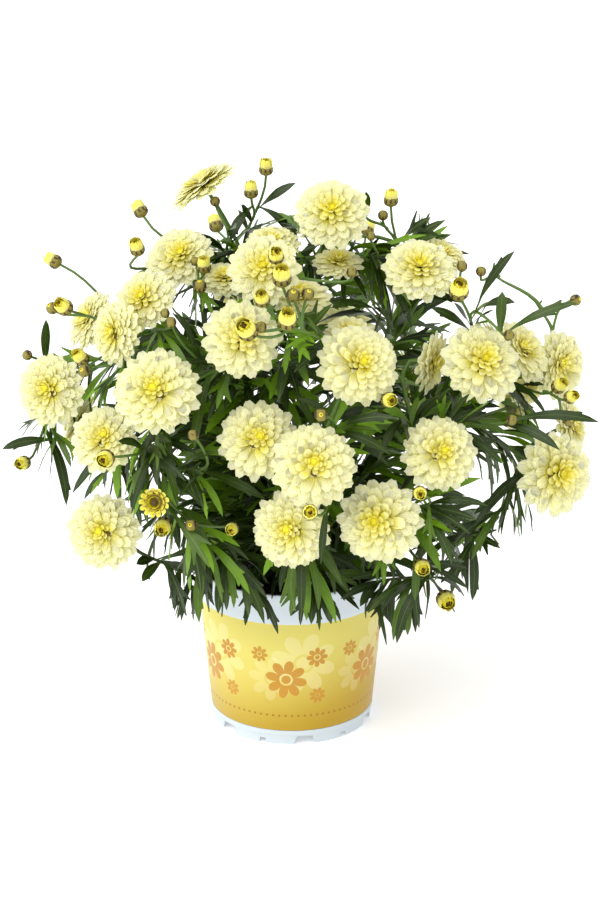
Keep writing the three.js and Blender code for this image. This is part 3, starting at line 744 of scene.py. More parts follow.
class Heap:
    """Many copies of patterns that become one piece."""

    def __init__(self):
        self.points, self.corners, self.sizes, self.marks = [], [], [], []
        self.count = 0

    def add(self, pattern, points, layer, draw, flip=False):
        marks = np.empty((len(points), 4))
        marks[:, 0] = pattern.along
        marks[:, 1] = pattern.across
        marks[:, 2] = layer
        marks[:, 3] = draw
        self.points.append(points)
        self.marks.append(marks)
        self.corners.append((pattern.flipped if flip else pattern.corners) + self.count)
        self.sizes.append(pattern.sizes)
        self.count += len(points)

    def finish(self, name, material):
        """The piece, with an attribute that holds along, across, layer and draw for its material."""
        points = np.concatenate(self.points) * MM
        corners = np.concatenate(self.corners)
        sizes = np.concatenate(self.sizes)
        mesh = bpy.data.meshes.new(name)
        mesh.vertices.add(len(points))
        mesh.vertices.foreach_set("co", points.astype(np.float32).ravel())
        mesh.loops.add(len(corners))
        mesh.loops.foreach_set("vertex_index", corners.astype(np.int32))
        mesh.polygons.add(len(sizes))
        starts = np.concatenate([[0], np.cumsum(sizes)[:-1]])
        mesh.polygons.foreach_set("loop_start", starts.astype(np.int32))
        mesh.polygons.foreach_set("loop_total", sizes.astype(np.int32))
        marks = mesh.attributes.new("mark", "FLOAT_COLOR", "POINT")
        marks.data.foreach_set("color", np.concatenate(self.marks).astype(np.float32).ravel())
        mesh.update(calc_edges=True)
        mesh.validate()
        mesh.materials.append(material)
        made = add_object(name, mesh)
        smooth(made, SHARP_COPY)
        return made


def across_axes(axis):
    """Two directions square to an axis and to each other."""
    turned = Vector((0, 0, 1)).rotation_difference(Vector(axis))
    return np.array(turned @ Vector((1, 0, 0))), np.array(turned @ Vector((0, 1, 0)))


def spoke(side, other, turn):
    """The ways outwards and sideways at a turn round an axis."""
    along = side * math.cos(turn) + other * math.sin(turn)
    across = side * math.sin(turn) - other * math.cos(turn)
    return along, across


def add_turned(heap, pattern, foot, axis, radius, length, layer, draw):
    """Adds a round pattern with its foot at a place and its height along an axis."""
    side, other = across_axes(axis)
    places = pattern.points
    points = (foot + np.outer(places[:, 0] * radius, side) + np.outer(places[:, 1] * radius, other)
              + np.outer(places[:, 2] * length, axis))
    heap.add(pattern, points, layer, draw)


LEAST_BEND = 1e-3


def arc(pattern, length, width, start_angle, bend):
    """Lays a flat pattern along an arc: out, rise and aside of each point, by the angle above level
    that it starts with and the angle that it bends down by."""
    along, up = pattern.points[:, 1], pattern.points[:, 2]
    bend = bend if abs(bend) > LEAST_BEND else LEAST_BEND
    angle = start_angle - bend * along
    out = length * (np.sin(start_angle) - np.sin(angle)) / bend
    rise = length * (np.cos(angle) - np.cos(start_angle)) / bend
    return out - up * width * np.sin(angle), rise + up * width * np.cos(angle), pattern.points[:, 0] * width


# Petals and blooms

# The petal patterns, as shares of their length: thickness, how deep the middle groove is, and how far
# the corners of the tip slope back
PETAL_THICKNESS = 0.05
PETAL_GROOVE = 0.05
TIP_SLOPE = 0.07
# How many faces a pattern has across, its widths from root to tip, and how deep its tip is notched
PETAL_FORM = (4, [0.34, 0.52, 0.74, 0.92, 1.0, 0.94, 0.64], 0.015)
INNER_PETAL_FORM = (2, [0.4, 0.66, 0.9, 1.0, 0.9, 0.6], 0.04)
BUD_PETAL_FORM = (2, [0.7, 0.95, 1, 0.9, 0.6], 0.03)
SCALE_FORM = (2, [0.8, 1, 0.85, 0.3], 0)


def petal_pattern(name, columns, widths, notch):
    """A petal or scale of length 1 and width 1: two skins that meet all round its edge, with a groove
    along its middle and a notched tip."""
    rows = len(widths) - 1
    bpy.ops.mesh.primitive_grid_add(x_subdivisions=columns, y_subdivisions=rows, size=1, location=(0, 0.5, 0))
    made = newest(name)
    bpy.ops.object.transform_apply(location=True)
    open_mesh(made)
    for k, width in enumerate(widths):
        along = k / rows
        pick(made, "VERT", lambda p: abs(p.y - along) < 0.01)
        bpy.ops.transform.resize(value=(width, 1, 1), center_override=(0, along, 0))
    edge = widths[-1] / 2
    pick(made, "VERT", lambda p: p.y > 0.99 and abs(abs(p.x) - edge) < 0.01)
    bpy.ops.transform.translate(value=(0, -TIP_SLOPE, 0))
    pick(made, "VERT", lambda p: p.y > 0.99 and abs(p.x) < 0.01)
    bpy.ops.transform.translate(value=(0, -notch, 0))
    pick(made, "VERT", lambda p: abs(p.x) < 0.01 and 0.1 < p.y < 0.9)
    bpy.ops.transform.translate(value=(0, 0, -PETAL_GROOVE))
    close_mesh()
    inside = made.vertex_groups.new(name="inside")
    shape = bmesh.new()
    shape.from_mesh(made.data)
    inside.add([v.index for v in shape.verts if not v.is_boundary], 1, "REPLACE")
    shape.free()
    apply_modifier(made, "SOLIDIFY", thickness=PETAL_THICKNESS, offset=0, vertex_group="inside",
                   use_rim=False)
    open_mesh(made)
    bpy.ops.mesh.select_all(action="SELECT")
    bpy.ops.mesh.remove_doubles(threshold=0.001)
    bpy.ops.mesh.normals_make_consistent(inside=False)
    close_mesh()
    return Pattern(made)


# Rows of petals from the outside in: count, length, width, angle above level at the root, bend,
# and radius and height of the root, as shares of the bloom's radius, and how deep the yellow is
BLOOM_ROWS = {
    "double": [
        (16, 0.97, 0.34, 4, 12, 0.10, 0.02, 0.0),
        (16, 0.88, 0.33, 11, 16, 0.10, 0.05, 0.05),
        (15, 0.78, 0.31, 19, 20, 0.10, 0.08, 0.12),
        (14, 0.67, 0.28, 28, 25, 0.10, 0.10, 0.22),
        (12, 0.56, 0.25, 38, 30, 0.10, 0.11, 0.36),
        (10, 0.45, 0.21, 50, 34, 0.10, 0.12, 0.5),
    ],
    "anemone": [
        (14, 0.97, 0.37, 3, 11, 0.10, 0.02, 0.0),
        (14, 0.87, 0.36, 9, 15, 0.10, 0.04, 0.06),
        (13, 0.76, 0.33, 16, 20, 0.10, 0.06, 0.15),
        (11, 0.64, 0.29, 26, 26, 0.10, 0.07, 0.28),
        (9, 0.52, 0.24, 38, 32, 0.10, 0.08, 0.42),
    ],
}
CUSHION_ROWS = [
    (11, 0.34, 0.19, 44, 44, 0.17, 0.12, 0.45),
    (9, 0.33, 0.17, 58, 40, 0.13, 0.15, 0.55),
    (7, 0.31, 0.15, 71, 34, 0.09, 0.17, 0.7),
    (5, 0.27, 0.13, 80, 24, 0.06, 0.17, 0.85),
]
CUSHION_SIZES = {"double": 0.86, "anemone": 1.05}
INNER_LAYER = 0.2

# How the petals of a row differ: shares of length, width, bend and place, and degrees of lift and roll
LENGTH_SPREAD, WIDTH_SPREAD, BEND_SPREAD, PLACE_SPREAD = 0.04, 0.08, 0.3, 0.14
LIFT_SPREAD, ROLL_SPREAD = 3, 6

# The cushion stands to one side and leaves a gap on the other, where the inner petals are left out, and a
# ball of painted shade darkens the gap. Height, distance from the axis and radius of that ball and of the
# cushion's heart are shares of the bloom's radius, and the layer comes last.
CUSHION_SHIFT = 0.11
GAP_LAYER = 0.3
GAP_EDGE = math.cos(math.radians(42))
GAP_SHADE_BALL = (0.12, 0.17, 0.14, 2)
HEART = (0.2, CUSHION_SHIFT, 0.12, 1)

# Where the gap of a bloom shows: degrees from below towards the right, and about below for the rest
GAP_SWING = 30
GAP_SIDES = {2: 0, 3: 10, 5: 40, 6: -50, 7: 0, 8: -20, 9: 60, 11: 45, 12: 60, 13: -10, 14: 75, 15: -30,
             16: 0, 17: 80, 18: 80, 19: -60, 20: -60, 21: 60, 22: -30, 26: -80}


def place_petal(heap, pattern, head, side, other, row, turn, centre, draws):
    """Adds one petal of a row, at a turn round the bloom's axis."""
    _, length, width, lift, bend, root, height, layer = row
    radius = head["radius"]
    out, rise, aside = arc(
        pattern,
        length * radius * (1 + LENGTH_SPREAD * draws[0]),
        width * radius * (1 + WIDTH_SPREAD * draws[1]),
        math.radians(lift + LIFT_SPREAD * draws[2]),
        math.radians(bend * (1 + BEND_SPREAD * draws[3])),
    )
    roll = math.radians(ROLL_SPREAD) * draws[4]
    aside, lean = aside * math.cos(roll), aside * math.sin(roll)
    along, across = spoke(side, other, turn)
    start = head["seat"] + centre + along * root * radius + head["axis"] * height * radius
    points = start + np.outer(out, along) + np.outer(aside, across) + np.outer(rise + lean, head["axis"])
    heap.add(pattern, points, layer, (draws[5] + 1) / 2)


def gap_direction(number, axis):
    """The way from the middle of a bloom towards its gap, in the plane of its face."""
    _, _, right, above = camera_axes()
    angle = math.radians(GAP_SIDES.get(number, 2 * GAP_SWING * chance(number) - GAP_SWING))
    way = right * math.sin(angle) - above * math.cos(angle)
    return unit(way - axis * float(way @ axis))


def bloom_piece(number, head, patterns, eye, material):
    """One bloom: rows of petals round its axis, and a raised cushion of small ones beside a gap that a ball
    of painted shade darkens.
    """
    draw = random.Random(1000 + number)
    side, other = across_axes(head["axis"])
    gap = gap_direction(number, head["axis"])
    heap = Heap()
    rows = [(row, np.zeros(3), 1) for row in BLOOM_ROWS[head["kind"]]]
    shift = gap * -CUSHION_SHIFT * head["radius"]
    rows += [(row, shift, CUSHION_SIZES[head["kind"]]) for row in CUSHION_ROWS]
    start = draw.uniform(0, 2 * math.pi)
    for row_number, (row, centre, size) in enumerate(rows):
        count, layer = row[0], row[-1]
        sizes = [1, size, size, 1, 1, size, size, 1]
        sized = [value * factor for value, factor in zip(row, sizes)]
        pattern = patterns[0 if layer < INNER_LAYER else 1]
        for k in range(count):
            place = k + row_number % 2 / 2 + draw.uniform(-PLACE_SPREAD, PLACE_SPREAD)
            turn = start + 2 * math.pi * place / count
            draws = [draw.uniform(-1, 1) for _ in range(6)]
            way, _ = spoke(side, other, turn)
            if centre.any() or layer < GAP_LAYER or float(way @ gap) < GAP_EDGE:
                place_petal(heap, pattern, head, side, other, sized, turn, centre, draws)
    # The first ball darkens the gap as painted shade, and the second is the cushion's heart
    for way, (height, reach, size, layer) in ((gap, GAP_SHADE_BALL), (-gap, HEART)):
        foot = head["seat"] + (head["axis"] * height + way * reach) * head["radius"]
        add_turned(heap, eye, foot, head["axis"], size * head["radius"], size * head["radius"], layer, 0.5)
    return heap.finish(f"petals_{number:02d}", material)


def eye_pattern():
    """A flattened ball: the painted shade in the gap of a bloom, the heart of its cushion, and the painted
    shade in the hole of a bud.
    """
    bpy.ops.mesh.primitive_uv_sphere_add(segments=10, ring_count=6, radius=1)
    made = newest("eye")
    open_mesh(made)
    bpy.ops.mesh.select_all(action="SELECT")
    bpy.ops.transform.resize(value=(1, 1, 0.6), center_override=(0, 0, 0))
    close_mesh()
    return Pattern(made)


# Leaves

# How a leaf lies: the turn to the next one in degrees, how much of its way goes along the stem, round
# it and outwards, its length in millimetres and its bend in radians, each as the least and how much
# more there can be, its width over the pattern's, how far up its face looks beside outwards, and how
# far it may twist and differ from that
GOLDEN_TURN = 137.5
ALONG_STEM, ROUND_STEM, OUT_FROM_STEM = 0.8, 0.85, 0.3
LEAST_SAG = 0.2
LEAF_LENGTH, LEAF_BEND = (34, 18), (0.3, 0.6)
LEAF_WIDTH = 1.2
FACE_LIFT = 0.5
MOST_TWIST = math.radians(80)
TWIST_CHANGE = math.radians(30)
TWIST_RATE = 1.6

# A leaf that is in the way is shortened to these shares, which makes it wider for its length, and it
# keeps so many millimetres off the blooms
LEAF_CUTS = (1, 0.8, 0.62)
CUT_WIDENING = 0.7
LEAF_ROOM = 0.5

# Painted shade darkens leaves over some depth below a height
SHADE_HEIGHT, SHADE_DEPTH = 200, 90

# Where leaves start on a trunk and on a branch, and the share of a branch that carries them densely
TRUNK_START, BRANCH_START = 22, 6
DENSE_SHARE = 0.75

# The leaf that ends a shoot: the share of the shoot where it starts, its bend, length and twist
END_START, END_BEND, END_LENGTH, END_TWIST = 0.95, 0.6, 40, 0.5

# Leaves round the foot of a main stem: how many, how high they start and in what steps, how far they
# lean outwards, how steeply they rise, their length and their bend
FOOT_LEAVES = 18
FOOT_START, FOOT_STEP = 7, 2.2
FOOT_LEAN = 0.4
FOOT_RISE, FOOT_LENGTH, FOOT_BEND = (10, 35), (36, 20), (0.7, 0.6)

# The leaf patterns, as shares of their length: half the thickness and how high the rib stands out.
# A lobe grows in two steps: share of its reach, and how far its end shrinks across, up and along.
LEAF_THICKNESS = 0.009
LEAF_RIDGE = 0.011
LOBE_STEPS = ((0.45, (0.5, 0.7, 0.72)), (0.55, (0.5, 0.7, 0.2)))


def between(span, share):
    """A share of the way through a span of a least value and how much more there can be."""
    least, more = span
    return least + more * share


def leaf_pattern(name, widths, lobes):
    """A narrow blade of length 1 with pointed lobes: a flattened four-sided rod whose corners are its
    two edges, its upper rib and its lower one. Lobes are row, side, reach and sweep."""
    rows = len(widths) - 1
    step = 1 / rows
    bpy.ops.mesh.primitive_cylinder_add(vertices=4, radius=1, depth=step, location=(0, 0, step / 2))
    made = newest(name)
    bpy.ops.object.transform_apply(location=True)
    open_mesh(made)
    for row in range(2, rows + 1):
        pick(made, "FACE", lambda p: p.z > (row - 1) * step - 1e-4)
        bpy.ops.mesh.extrude_region_move(TRANSFORM_OT_translate={"value": (0, 0, step)})
    for row, width in enumerate(widths):
        pick(made, "VERT", lambda p: abs(p.z - row * step) < 1e-3)
        bpy.ops.transform.resize(value=(width, LEAF_THICKNESS, 1), center_override=(0, 0, row * step))
    for row, side, reach, sweep in lobes:
        low, high = row * step, (row + 1) * step
        pick(made, "FACE", lambda p: low < p.z < high and p.x * side > 0.001)
        for share, shrinking in LOBE_STEPS:
            move = (side * reach * share, 0, sweep * share)
            bpy.ops.mesh.extrude_region_move(TRANSFORM_OT_translate={"value": move})
            bpy.ops.transform.resize(value=shrinking, center_override=middle_of_picked(made))
    pick(made, "VERT", lambda p: abs(p.x) < 1e-3 and 0.01 < p.z < 0.99)
    bpy.ops.transform.translate(value=(0, LEAF_RIDGE, 0))
    bpy.ops.mesh.select_all(action="SELECT")
    bpy.ops.transform.rotate(value=math.radians(90), orient_axis="X", center_override=(0, 0, 0))
    close_mesh()
    pattern = Pattern(made)
    if pattern.points[:, 1].max() < 0.5:
        raise ValueError("the leaf points the wrong way")
    return pattern


# Half widths of the blade from root to tip, and its lobes, all as shares of its length
LEAF_KINDS = {
    "strap": ([0.024, 0.028, 0.038, 0.047, 0.053, 0.055, 0.052, 0.045, 0.032, 0.004],
              [(6, 1, 0.035, 0.09)]),
    "fingered": ([0.022, 0.022, 0.028, 0.038, 0.05, 0.055, 0.042, 0.036, 0.028, 0.004],
                 [(4, 1, 0.13, 0.26), (5, -1, 0.12, 0.24)]),
    "plain": ([0.024, 0.03, 0.042, 0.05, 0.054, 0.048, 0.034, 0.004], []),
    "toothed": ([0.022, 0.026, 0.034, 0.042, 0.05, 0.05, 0.048, 0.04, 0.028, 0.004],
                [(5, -1, 0.05, 0.11), (6, 1, 0.045, 0.1)]),
}


def crown_room(point):
    """How long a leaf can be before it sticks out of the round crown."""
    x, y, z = point
    if z < CROWN_MIDDLE:
        return math.inf
    return CROWN_RADIUS + LEAF_OVERHANG - math.hypot(x, y, (z - CROWN_MIDDLE) * CROWN_RADIUS / CROWN_HEIGHT)


def leaf_at(point, tangent, index):
    """The lie of a leaf by the model's rule: all round the stem by the golden angle, and outwards."""
    outward = unit(point * [1, 1, 0])
    turn = index * math.radians(GOLDEN_TURN)
    first = unit(np.cross(tangent, outward))
    second = unit(np.cross(tangent, first))
    way_round = first * math.cos(turn) + second * math.sin(turn)
    heading = unit(tangent * ALONG_STEM + way_round * ROUND_STEM + outward * OUT_FROM_STEM)
    sag = -UP + heading * heading[2]
    if np.linalg.norm(sag) < LEAST_SAG:
        sag = outward
    sag = unit(sag - heading * float(sag @ heading))
    leaf = {"base": point, "heading": heading, "sag": sag, "mirrored": chance(index + 0.25) < 0.5,
            "bend": between(LEAF_BEND, chance(index)), "width": LEAF_WIDTH,
            "length": min(between(LEAF_LENGTH, chance(index + 0.5)), crown_room(point))}
    return opened(leaf, outward, index)


def opened(leaf, outward, index):
    """The leaf with its face turned outwards and upwards, some leaves more and some less."""
    change = TWIST_CHANGE * (2 * chance(index + 0.6) - 1)
    return {**leaf, "twist": open_twist(leaf, outward + UP * FACE_LIFT, change)}


def open_twist(leaf, wanted, change=0):
    """The twist that turns the face of a leaf towards a wanted direction."""
    side = np.cross(leaf["heading"], leaf["sag"]) * (-1 if leaf["mirrored"] else 1)
    twist = math.atan2(-float(side @ wanted), abs(float(leaf["sag"] @ wanted))) + change
    return max(-MOST_TWIST, min(MOST_TWIST, twist))


def leaf_points(pattern, leaf):
    """The pattern laid along the leaf's arc, and twisted about it from root to tip."""
    across, along, up = pattern.points.T * leaf["length"] * np.array([[leaf["width"]], [1], [1]])
    share = pattern.points[:, 1]
    angle = leaf["bend"] * share
    side = np.cross(leaf["heading"], leaf["sag"]) * (-1 if leaf["mirrored"] else 1)
    lift = np.outer(-np.cos(angle), leaf["sag"]) + np.outer(np.sin(angle), leaf["heading"])
    twist = leaf["twist"] * np.minimum(1, share * TWIST_RATE)
    aside = across * np.cos(twist) - up * np.sin(twist)
    above = across * np.sin(twist) + up * np.cos(twist)
    radius = leaf["length"] / leaf["bend"]
    return (leaf["base"] + np.outer(radius * np.sin(angle), leaf["heading"])
            + np.outer(radius * (1 - np.cos(angle)), leaf["sag"])
            + np.outer(aside, side) + lift * above[:, None])


def add_leaf(heap, patterns, leaf, index):
    """Adds the leaf, shortened or left out where it would cut or hide a bloom or a bud, or stick out of
    the foliage."""
    if leaf["length"] < SHORTEST_LEAF:
        return
    kind = patterns[int(chance(index + 0.75) * len(patterns))]
    for cut_share in LEAF_CUTS:
        shorter = {**leaf, "length": leaf["length"] * cut_share,
                   "width": leaf["width"] / cut_share ** CUT_WIDENING}
        points = leaf_points(kind, shorter)
        is_clear = outside_blooms(points).min() > LEAF_ROOM
        if is_clear and not shades_bloom(points) and not hides_bud(points) and in_outline(points):
            # Leaves low in the plant get painted shade by the height of their root
            low = min(1, max(0, (SHADE_HEIGHT - leaf["base"][2]) / SHADE_DEPTH))
            heap.add(kind, points, low, chance(index + 0.1), flip=not leaf["mirrored"])
            return


def end_leaf(route, index):
    """The leaf that ends a shoot carries on along it."""
    heading = route["head"]["axis"]
    sag = unit(-UP + heading * heading[2])
    return {"base": route["curve"].points(END_START)[0], "heading": heading, "sag": sag,
            "bend": END_BEND, "length": END_LENGTH, "mirrored": chance(index) < 0.5,
            "twist": END_TWIST, "width": 1}


def add_stem_leaves(heap, patterns, stem, stem_number):
    """Leaves all along the branches of a main stem, up to the bare stalk under each head."""
    for route_number, route in enumerate(stem["routes"]):
        index = 1000 * stem_number + 50 * route_number
        head = route["head"]
        if head["type"] == "shoot":
            add_leaf(heap, patterns, end_leaf(route, index), index)
        along = TRUNK_START if route["is_trunk"] else BRANCH_START
        while along < route["curve"].length - BARE_UNDER[head["type"]]:
            index += 1
            for step in (0, 1 / 3, 2 / 3):
                share = (along + step * LEAF_SPACING) / route["curve"].length
                if step == 0 or share < DENSE_SHARE:
                    point = route["curve"].points(share)[0]
                    leaf = leaf_at(point, route["curve"].heading(share), index + step)
                    add_leaf(heap, patterns, leaf, index + step)
            along += LEAF_SPACING


def add_foot_leaves(heap, patterns, stem, stem_number):
    """Leaves all round the foot of a main stem, which hide the soil and reach over the rim."""
    trunk = stem["routes"][0]["curve"]
    for k in range(FOOT_LEAVES):
        index = 1000 * stem_number + 900 + k
        point = trunk.points((FOOT_START + FOOT_STEP * k) / trunk.length)[0]
        rise = math.radians(between(FOOT_RISE, chance(index + 0.3)))
        outward = unit(point * [1, 1, 0])
        way_round = facing(k * GOLDEN_TURN, 0) * math.cos(rise)
        heading = unit(way_round + outward * FOOT_LEAN + UP * math.sin(rise))
        sag = unit(-UP + heading * heading[2])
        leaf = {"base": point, "heading": heading, "sag": sag, "mirrored": k % 2 == 0,
                "bend": between(FOOT_BEND, chance(index)), "width": LEAF_WIDTH,
                "length": between(FOOT_LENGTH, chance(index + 0.5))}
        add_leaf(heap, patterns, opened(leaf, outward, index), index)


# Leaves that stand out in the photograph: the pixels of their root and tip, how many millimetres the
# tip comes forward, the arch in radians, and the kind
KEY_LEAVES = [
    (395, 246, 425, 214, 8, 0.5, "fingered"),
    (398, 250, 440, 217, 14, 0.4, "fingered"),
    (395, 252, 433, 232, 16, 0.6, "toothed"),
    (476, 302, 501, 246, 4, 0.5, "strap"),
    (478, 304, 512, 294, 18, 0.9, "plain"),
    (515, 328, 572, 297, 6, 0.5, "toothed"),
    (450, 338, 436, 303, 10, 0.5, "strap"),
    (462, 334, 458, 300, 8, 0.4, "plain"),
    (472, 332, 484, 300, 6, 0.4, "plain"),
    (500, 332, 502, 290, 6, 0.3, "strap"),
    (506, 446, 551, 464, 12, 0.6, "toothed"),
    (532, 474, 484, 505, 10, 0.5, "strap"),
    (512, 412, 597, 415, 10, 0.7, "strap"),
    (500, 430, 560, 446, 20, 0.8, "plain"),
    (70, 438, 3, 446, 8, 0.6, "strap"),
    (40, 425, 75, 502, 16, 0.8, "strap"),
    (50, 352, 45, 318, 6, 0.3, "plain"),
    (252, 206, 228, 238, 10, 0.8, "strap"),
    (256, 205, 300, 240, 10, 0.9, "strap"),
    (262, 214, 292, 180, 6, 0.4, "plain"),
    (232, 545, 216, 612, 22, 0.9, "strap"),
    (224, 550, 268, 620, 26, 0.8, "toothed"),
    (286, 590, 311, 622, 20, 0.7, "plain"),
    (336, 575, 332, 622, 24, 0.8, "strap"),
    (374, 560, 360, 604, 24, 0.8, "strap"),
    (160, 545, 137, 562, 14, 0.6, "plain"),
    (165, 550, 142, 580, 14, 0.7, "strap"),
    (185, 560, 174, 600, 16, 0.8, "plain"),
    (200, 560, 190, 622, 18, 0.8, "strap"),
    (470, 535, 478, 602, 16, 0.9, "strap"),
    (450, 560, 392, 640, 20, 0.9, "strap"),
    (400, 590, 412, 634, 16, 0.8, "plain"),
    (350, 215, 366, 190, 6, 0.4, "plain"),
    (455, 540, 500, 545, 18, 0.7, "fingered"),
]
# How many pixels off a stalk such a leaf may start, how fully it faces the camera, the length at which
# it would be as wide as its pattern, how much longer it is than the line to its tip, how high it
# arches, and its layer, which gives it a little painted shade, and the most painted light it may get
KEY_LEAF_REACH = 26
KEY_LEAF_OPENNESS = 0.8
KEY_LEAF_WIDTH = 60
KEY_LEAF_SLACK = 1.03
KEY_LEAF_ARCH = 0.8
KEY_LEAF_LAYER = 0.15
KEY_LEAF_LIGHT = 0.6
# A stalk on the near side counts as nearer: pixels for each millimetre of depth
NEAR_SIDE = 0.05


def nearest_stalk(stems, x, y):
    """The place on a stalk that shows nearest to a pixel, and the stem's number."""
    best = None
    for stem_number, stem in enumerate(stems):
        for route in stem["routes"]:
            shares = np.linspace(0.1, 0.9, 33)
            points = route["curve"].points(shares)
            apart = np.hypot(*(pixels_of(points) - [x, y]).T) + NEAR_SIDE * points[:, 1]
            k = int(apart.argmin())
            if best is None or apart[k] < best[0]:
                best = (apart[k], points[k], stem_number)
    return best


def add_key_leaves(heaps, patterns, stems):
    """Adds each leaf of the list to the stem whose stalk shows nearest to its root."""
    _, forward_of_camera, _, _ = camera_axes()
    for x, y, tip_x, tip_y, forward, bend, kind in KEY_LEAVES:
        apart, base, stem_number = nearest_stalk(stems, x, y)
        if apart > KEY_LEAF_REACH:
            continue
        tip = on_sight(tip_x, tip_y, base[1] - forward)
        chord = tip - base
        heading = unit(unit(chord) + UP * math.tan(bend / 2) * KEY_LEAF_ARCH)
        sag = unit(-UP + heading * heading[2] + 1e-3)
        sag = unit(sag - heading * float(sag @ heading))
        length = float(np.linalg.norm(chord)) * KEY_LEAF_SLACK
        leaf = {"base": base, "heading": heading, "sag": sag, "bend": bend, "mirrored": False,
                "length": length, "width": KEY_LEAF_WIDTH / length}
        leaf["twist"] = open_twist(leaf, -forward_of_camera) * KEY_LEAF_OPENNESS
        points = leaf_points(patterns[kind], leaf)
        light = KEY_LEAF_LIGHT * chance(x + y)
        heaps[stem_number].add(patterns[kind], points, KEY_LEAF_LAYER, light, flip=True)


# Stalks

BUD_BRANCH_RADIUS = 1.0
FORK_SWELLING = 0.2
SHOOT_TIP_RADIUS = 0.6
TAPER = 0.7
# A root under each main stem: where it starts, starts to narrow and has narrowed, against the soil
ROOT_HEIGHTS = (-8, -2, 4)
# Rods of about one length make a stalk, which ends a little under the seat of its bloom
ROD_LENGTH, LEAST_RODS = 9, 8
UNDER_SEAT = 2


def stalk_radii(route, shares):
    """A trunk or branch tapers to the slim stalk of its head."""
    kind = route["head"]["type"]
    if route["is_trunk"]:
        foot, tip = TRUNK_RADIUS, STALK_RADIUS
    elif kind == "bud":
        foot, tip = BUD_BRANCH_RADIUS, BUD_STALK_RADIUS
    else:
        foot, tip = BRANCH_RADIUS + FORK_SWELLING, STALK_RADIUS if kind == "bloom" else SHOOT_TIP_RADIUS
    return foot + (tip - foot) * shares ** TAPER


def stalks_piece(number, stem, material):
    """The stalks of one main stem as one piece: bent round rods that taper and are closed at their ends."""
    curve = bpy.data.curves.new(f"stalks_{number:02d}", "CURVE")
    curve.dimensions = "3D"
    curve.bevel_depth = MM
    curve.bevel_resolution = 2
    curve.use_fill_caps = True
    routes = [(np.array([stem["root"] + UP * height for height in ROOT_HEIGHTS]),
               np.array([ROOT_RADIUS, ROOT_RADIUS, TRUNK_RADIUS]))]
    for route in stem["routes"]:
        steps = max(LEAST_RODS, int(route["curve"].length / ROD_LENGTH))
        shares = np.linspace(0, 1, steps + 1)
        points = route["curve"].points(shares)
        if route["head"]["type"] == "bloom":
            end = route["head"]["seat"] - route["head"]["axis"] * UNDER_SEAT
            points = np.concatenate([points, [end]])
            shares = np.append(shares, 1)
        routes.append((points, stalk_radii(route, shares)))
    for points, radii in routes:
        spline = curve.splines.new("POLY")
        spline.points.add(len(points) - 1)
        for place, point, radius in zip(spline.points, points, radii):
            place.co = (*(point * MM), 1)
            place.radius = radius
    activate(add_object(curve.name, curve))
    bpy.ops.object.convert(target="MESH")
    made = bpy.context.active_object
    made.data.materials.append(material)
    smooth(made, SHARP_STALK)
    return made


# Cups and buds

BOWL_SEGMENTS = 12
# The layers that tell the finish of a cup which part is green, which is olive and which is the painted shade
# of a bud's hole
GREEN, OLIVE, PAINTED_HOLE = 0, 1, 2
CUP_PROFILE = [(0, 0), (0.35, 0.02), (0.72, 0.25), (0.95, 0.6), (1, 0.9), (0.9, 1), (0, 1)]
BUD_PROFILE = [(0, 0), (0.4, 0.03), (0.8, 0.22), (1, 0.5), (0.97, 0.78), (0.72, 0.96), (0, 1)]


def bowl_pattern(name, profile):
    """A closed turned shape with its axis along the pattern's up, from (radius, height) pairs."""
    made = draw_outline(name, profile)
    spin_round(made, BOWL_SEGMENTS)
    return Pattern(made)


# The least and most that the petals or scales of a ring differ by: share of length, degrees of lift
RING_LENGTHS, RING_LIFTS = (0.92, 1.08), (-4, 4)


def add_ring(heap, pattern, foot, axis, ring, layer, draw):
    """A ring of small petals or scales round an axis: count, root radius, height, length, width, angle
    above level, bend, and the turn of the first."""
    count, root, height, length, width, lift, bend, phase = ring
    side, other = across_axes(axis)
    for k in range(count):
        turn = phase + 2 * math.pi * k / count
        out, rise, aside = arc(pattern, length * draw.uniform(*RING_LENGTHS), width,
                               math.radians(lift + draw.uniform(*RING_LIFTS)), math.radians(bend))
        along, across = spoke(side, other, turn)
        start = foot + along * root + axis * height
        points = start + np.outer(out, along) + np.outer(aside, across) + np.outer(rise, axis)
        heap.add(pattern, points, layer, draw.random())


# Rings of scales on a bloom's cup: count, radius and height of the root, angle above level, turn.
# Length, width and bend are the same for all.
CUP_SCALES = [(8, 1.9, 0.5, 42, 0), (10, 3.3, 1.7, 56, 0.3), (12, 4.5, 3.0, 66, 0.1)]
CUP_SCALE = (3.4, 2.6, 10)


def add_bloom_cup(heap, bowl, scale, head, draw):
    """The green cup that a bloom sits in: a bowl clad in three rings of scales."""
    axis = head["axis"]
    foot = head["seat"] - axis * (SEAT_GAP + CUP_LENGTH)
    add_turned(heap, bowl, foot, axis, CUP_RADIUS, CUP_LENGTH, GREEN, draw.random())
    length, width, bend = CUP_SCALE
    for count, root, height, lift, phase in CUP_SCALES:
        ring = (count, root, height, length, width, lift, bend, phase)
        add_ring(heap, scale, foot, axis, ring, GREEN, draw)


# Rows of a bud's cup scales: count, radius and height of the root as shares of the bud's radius,
# angle above level and turn of the first
BUD_SCALES = [(7, 0.30, 0.05, 24, 0.0), (8, 0.66, 0.26, 60, 0.35), (9, 0.90, 0.62, 84, 0.1)]
# More rows, which close over a young bud
CLOSING_SCALES = [(9, 0.92, 0.95, 104, 0.3), (7, 0.74, 1.25, 128, 0.0), (5, 0.46, 1.45, 150, 0.2)]
# Length, width and bend of the scales
BUD_SCALE = (0.78, 0.66, -36)
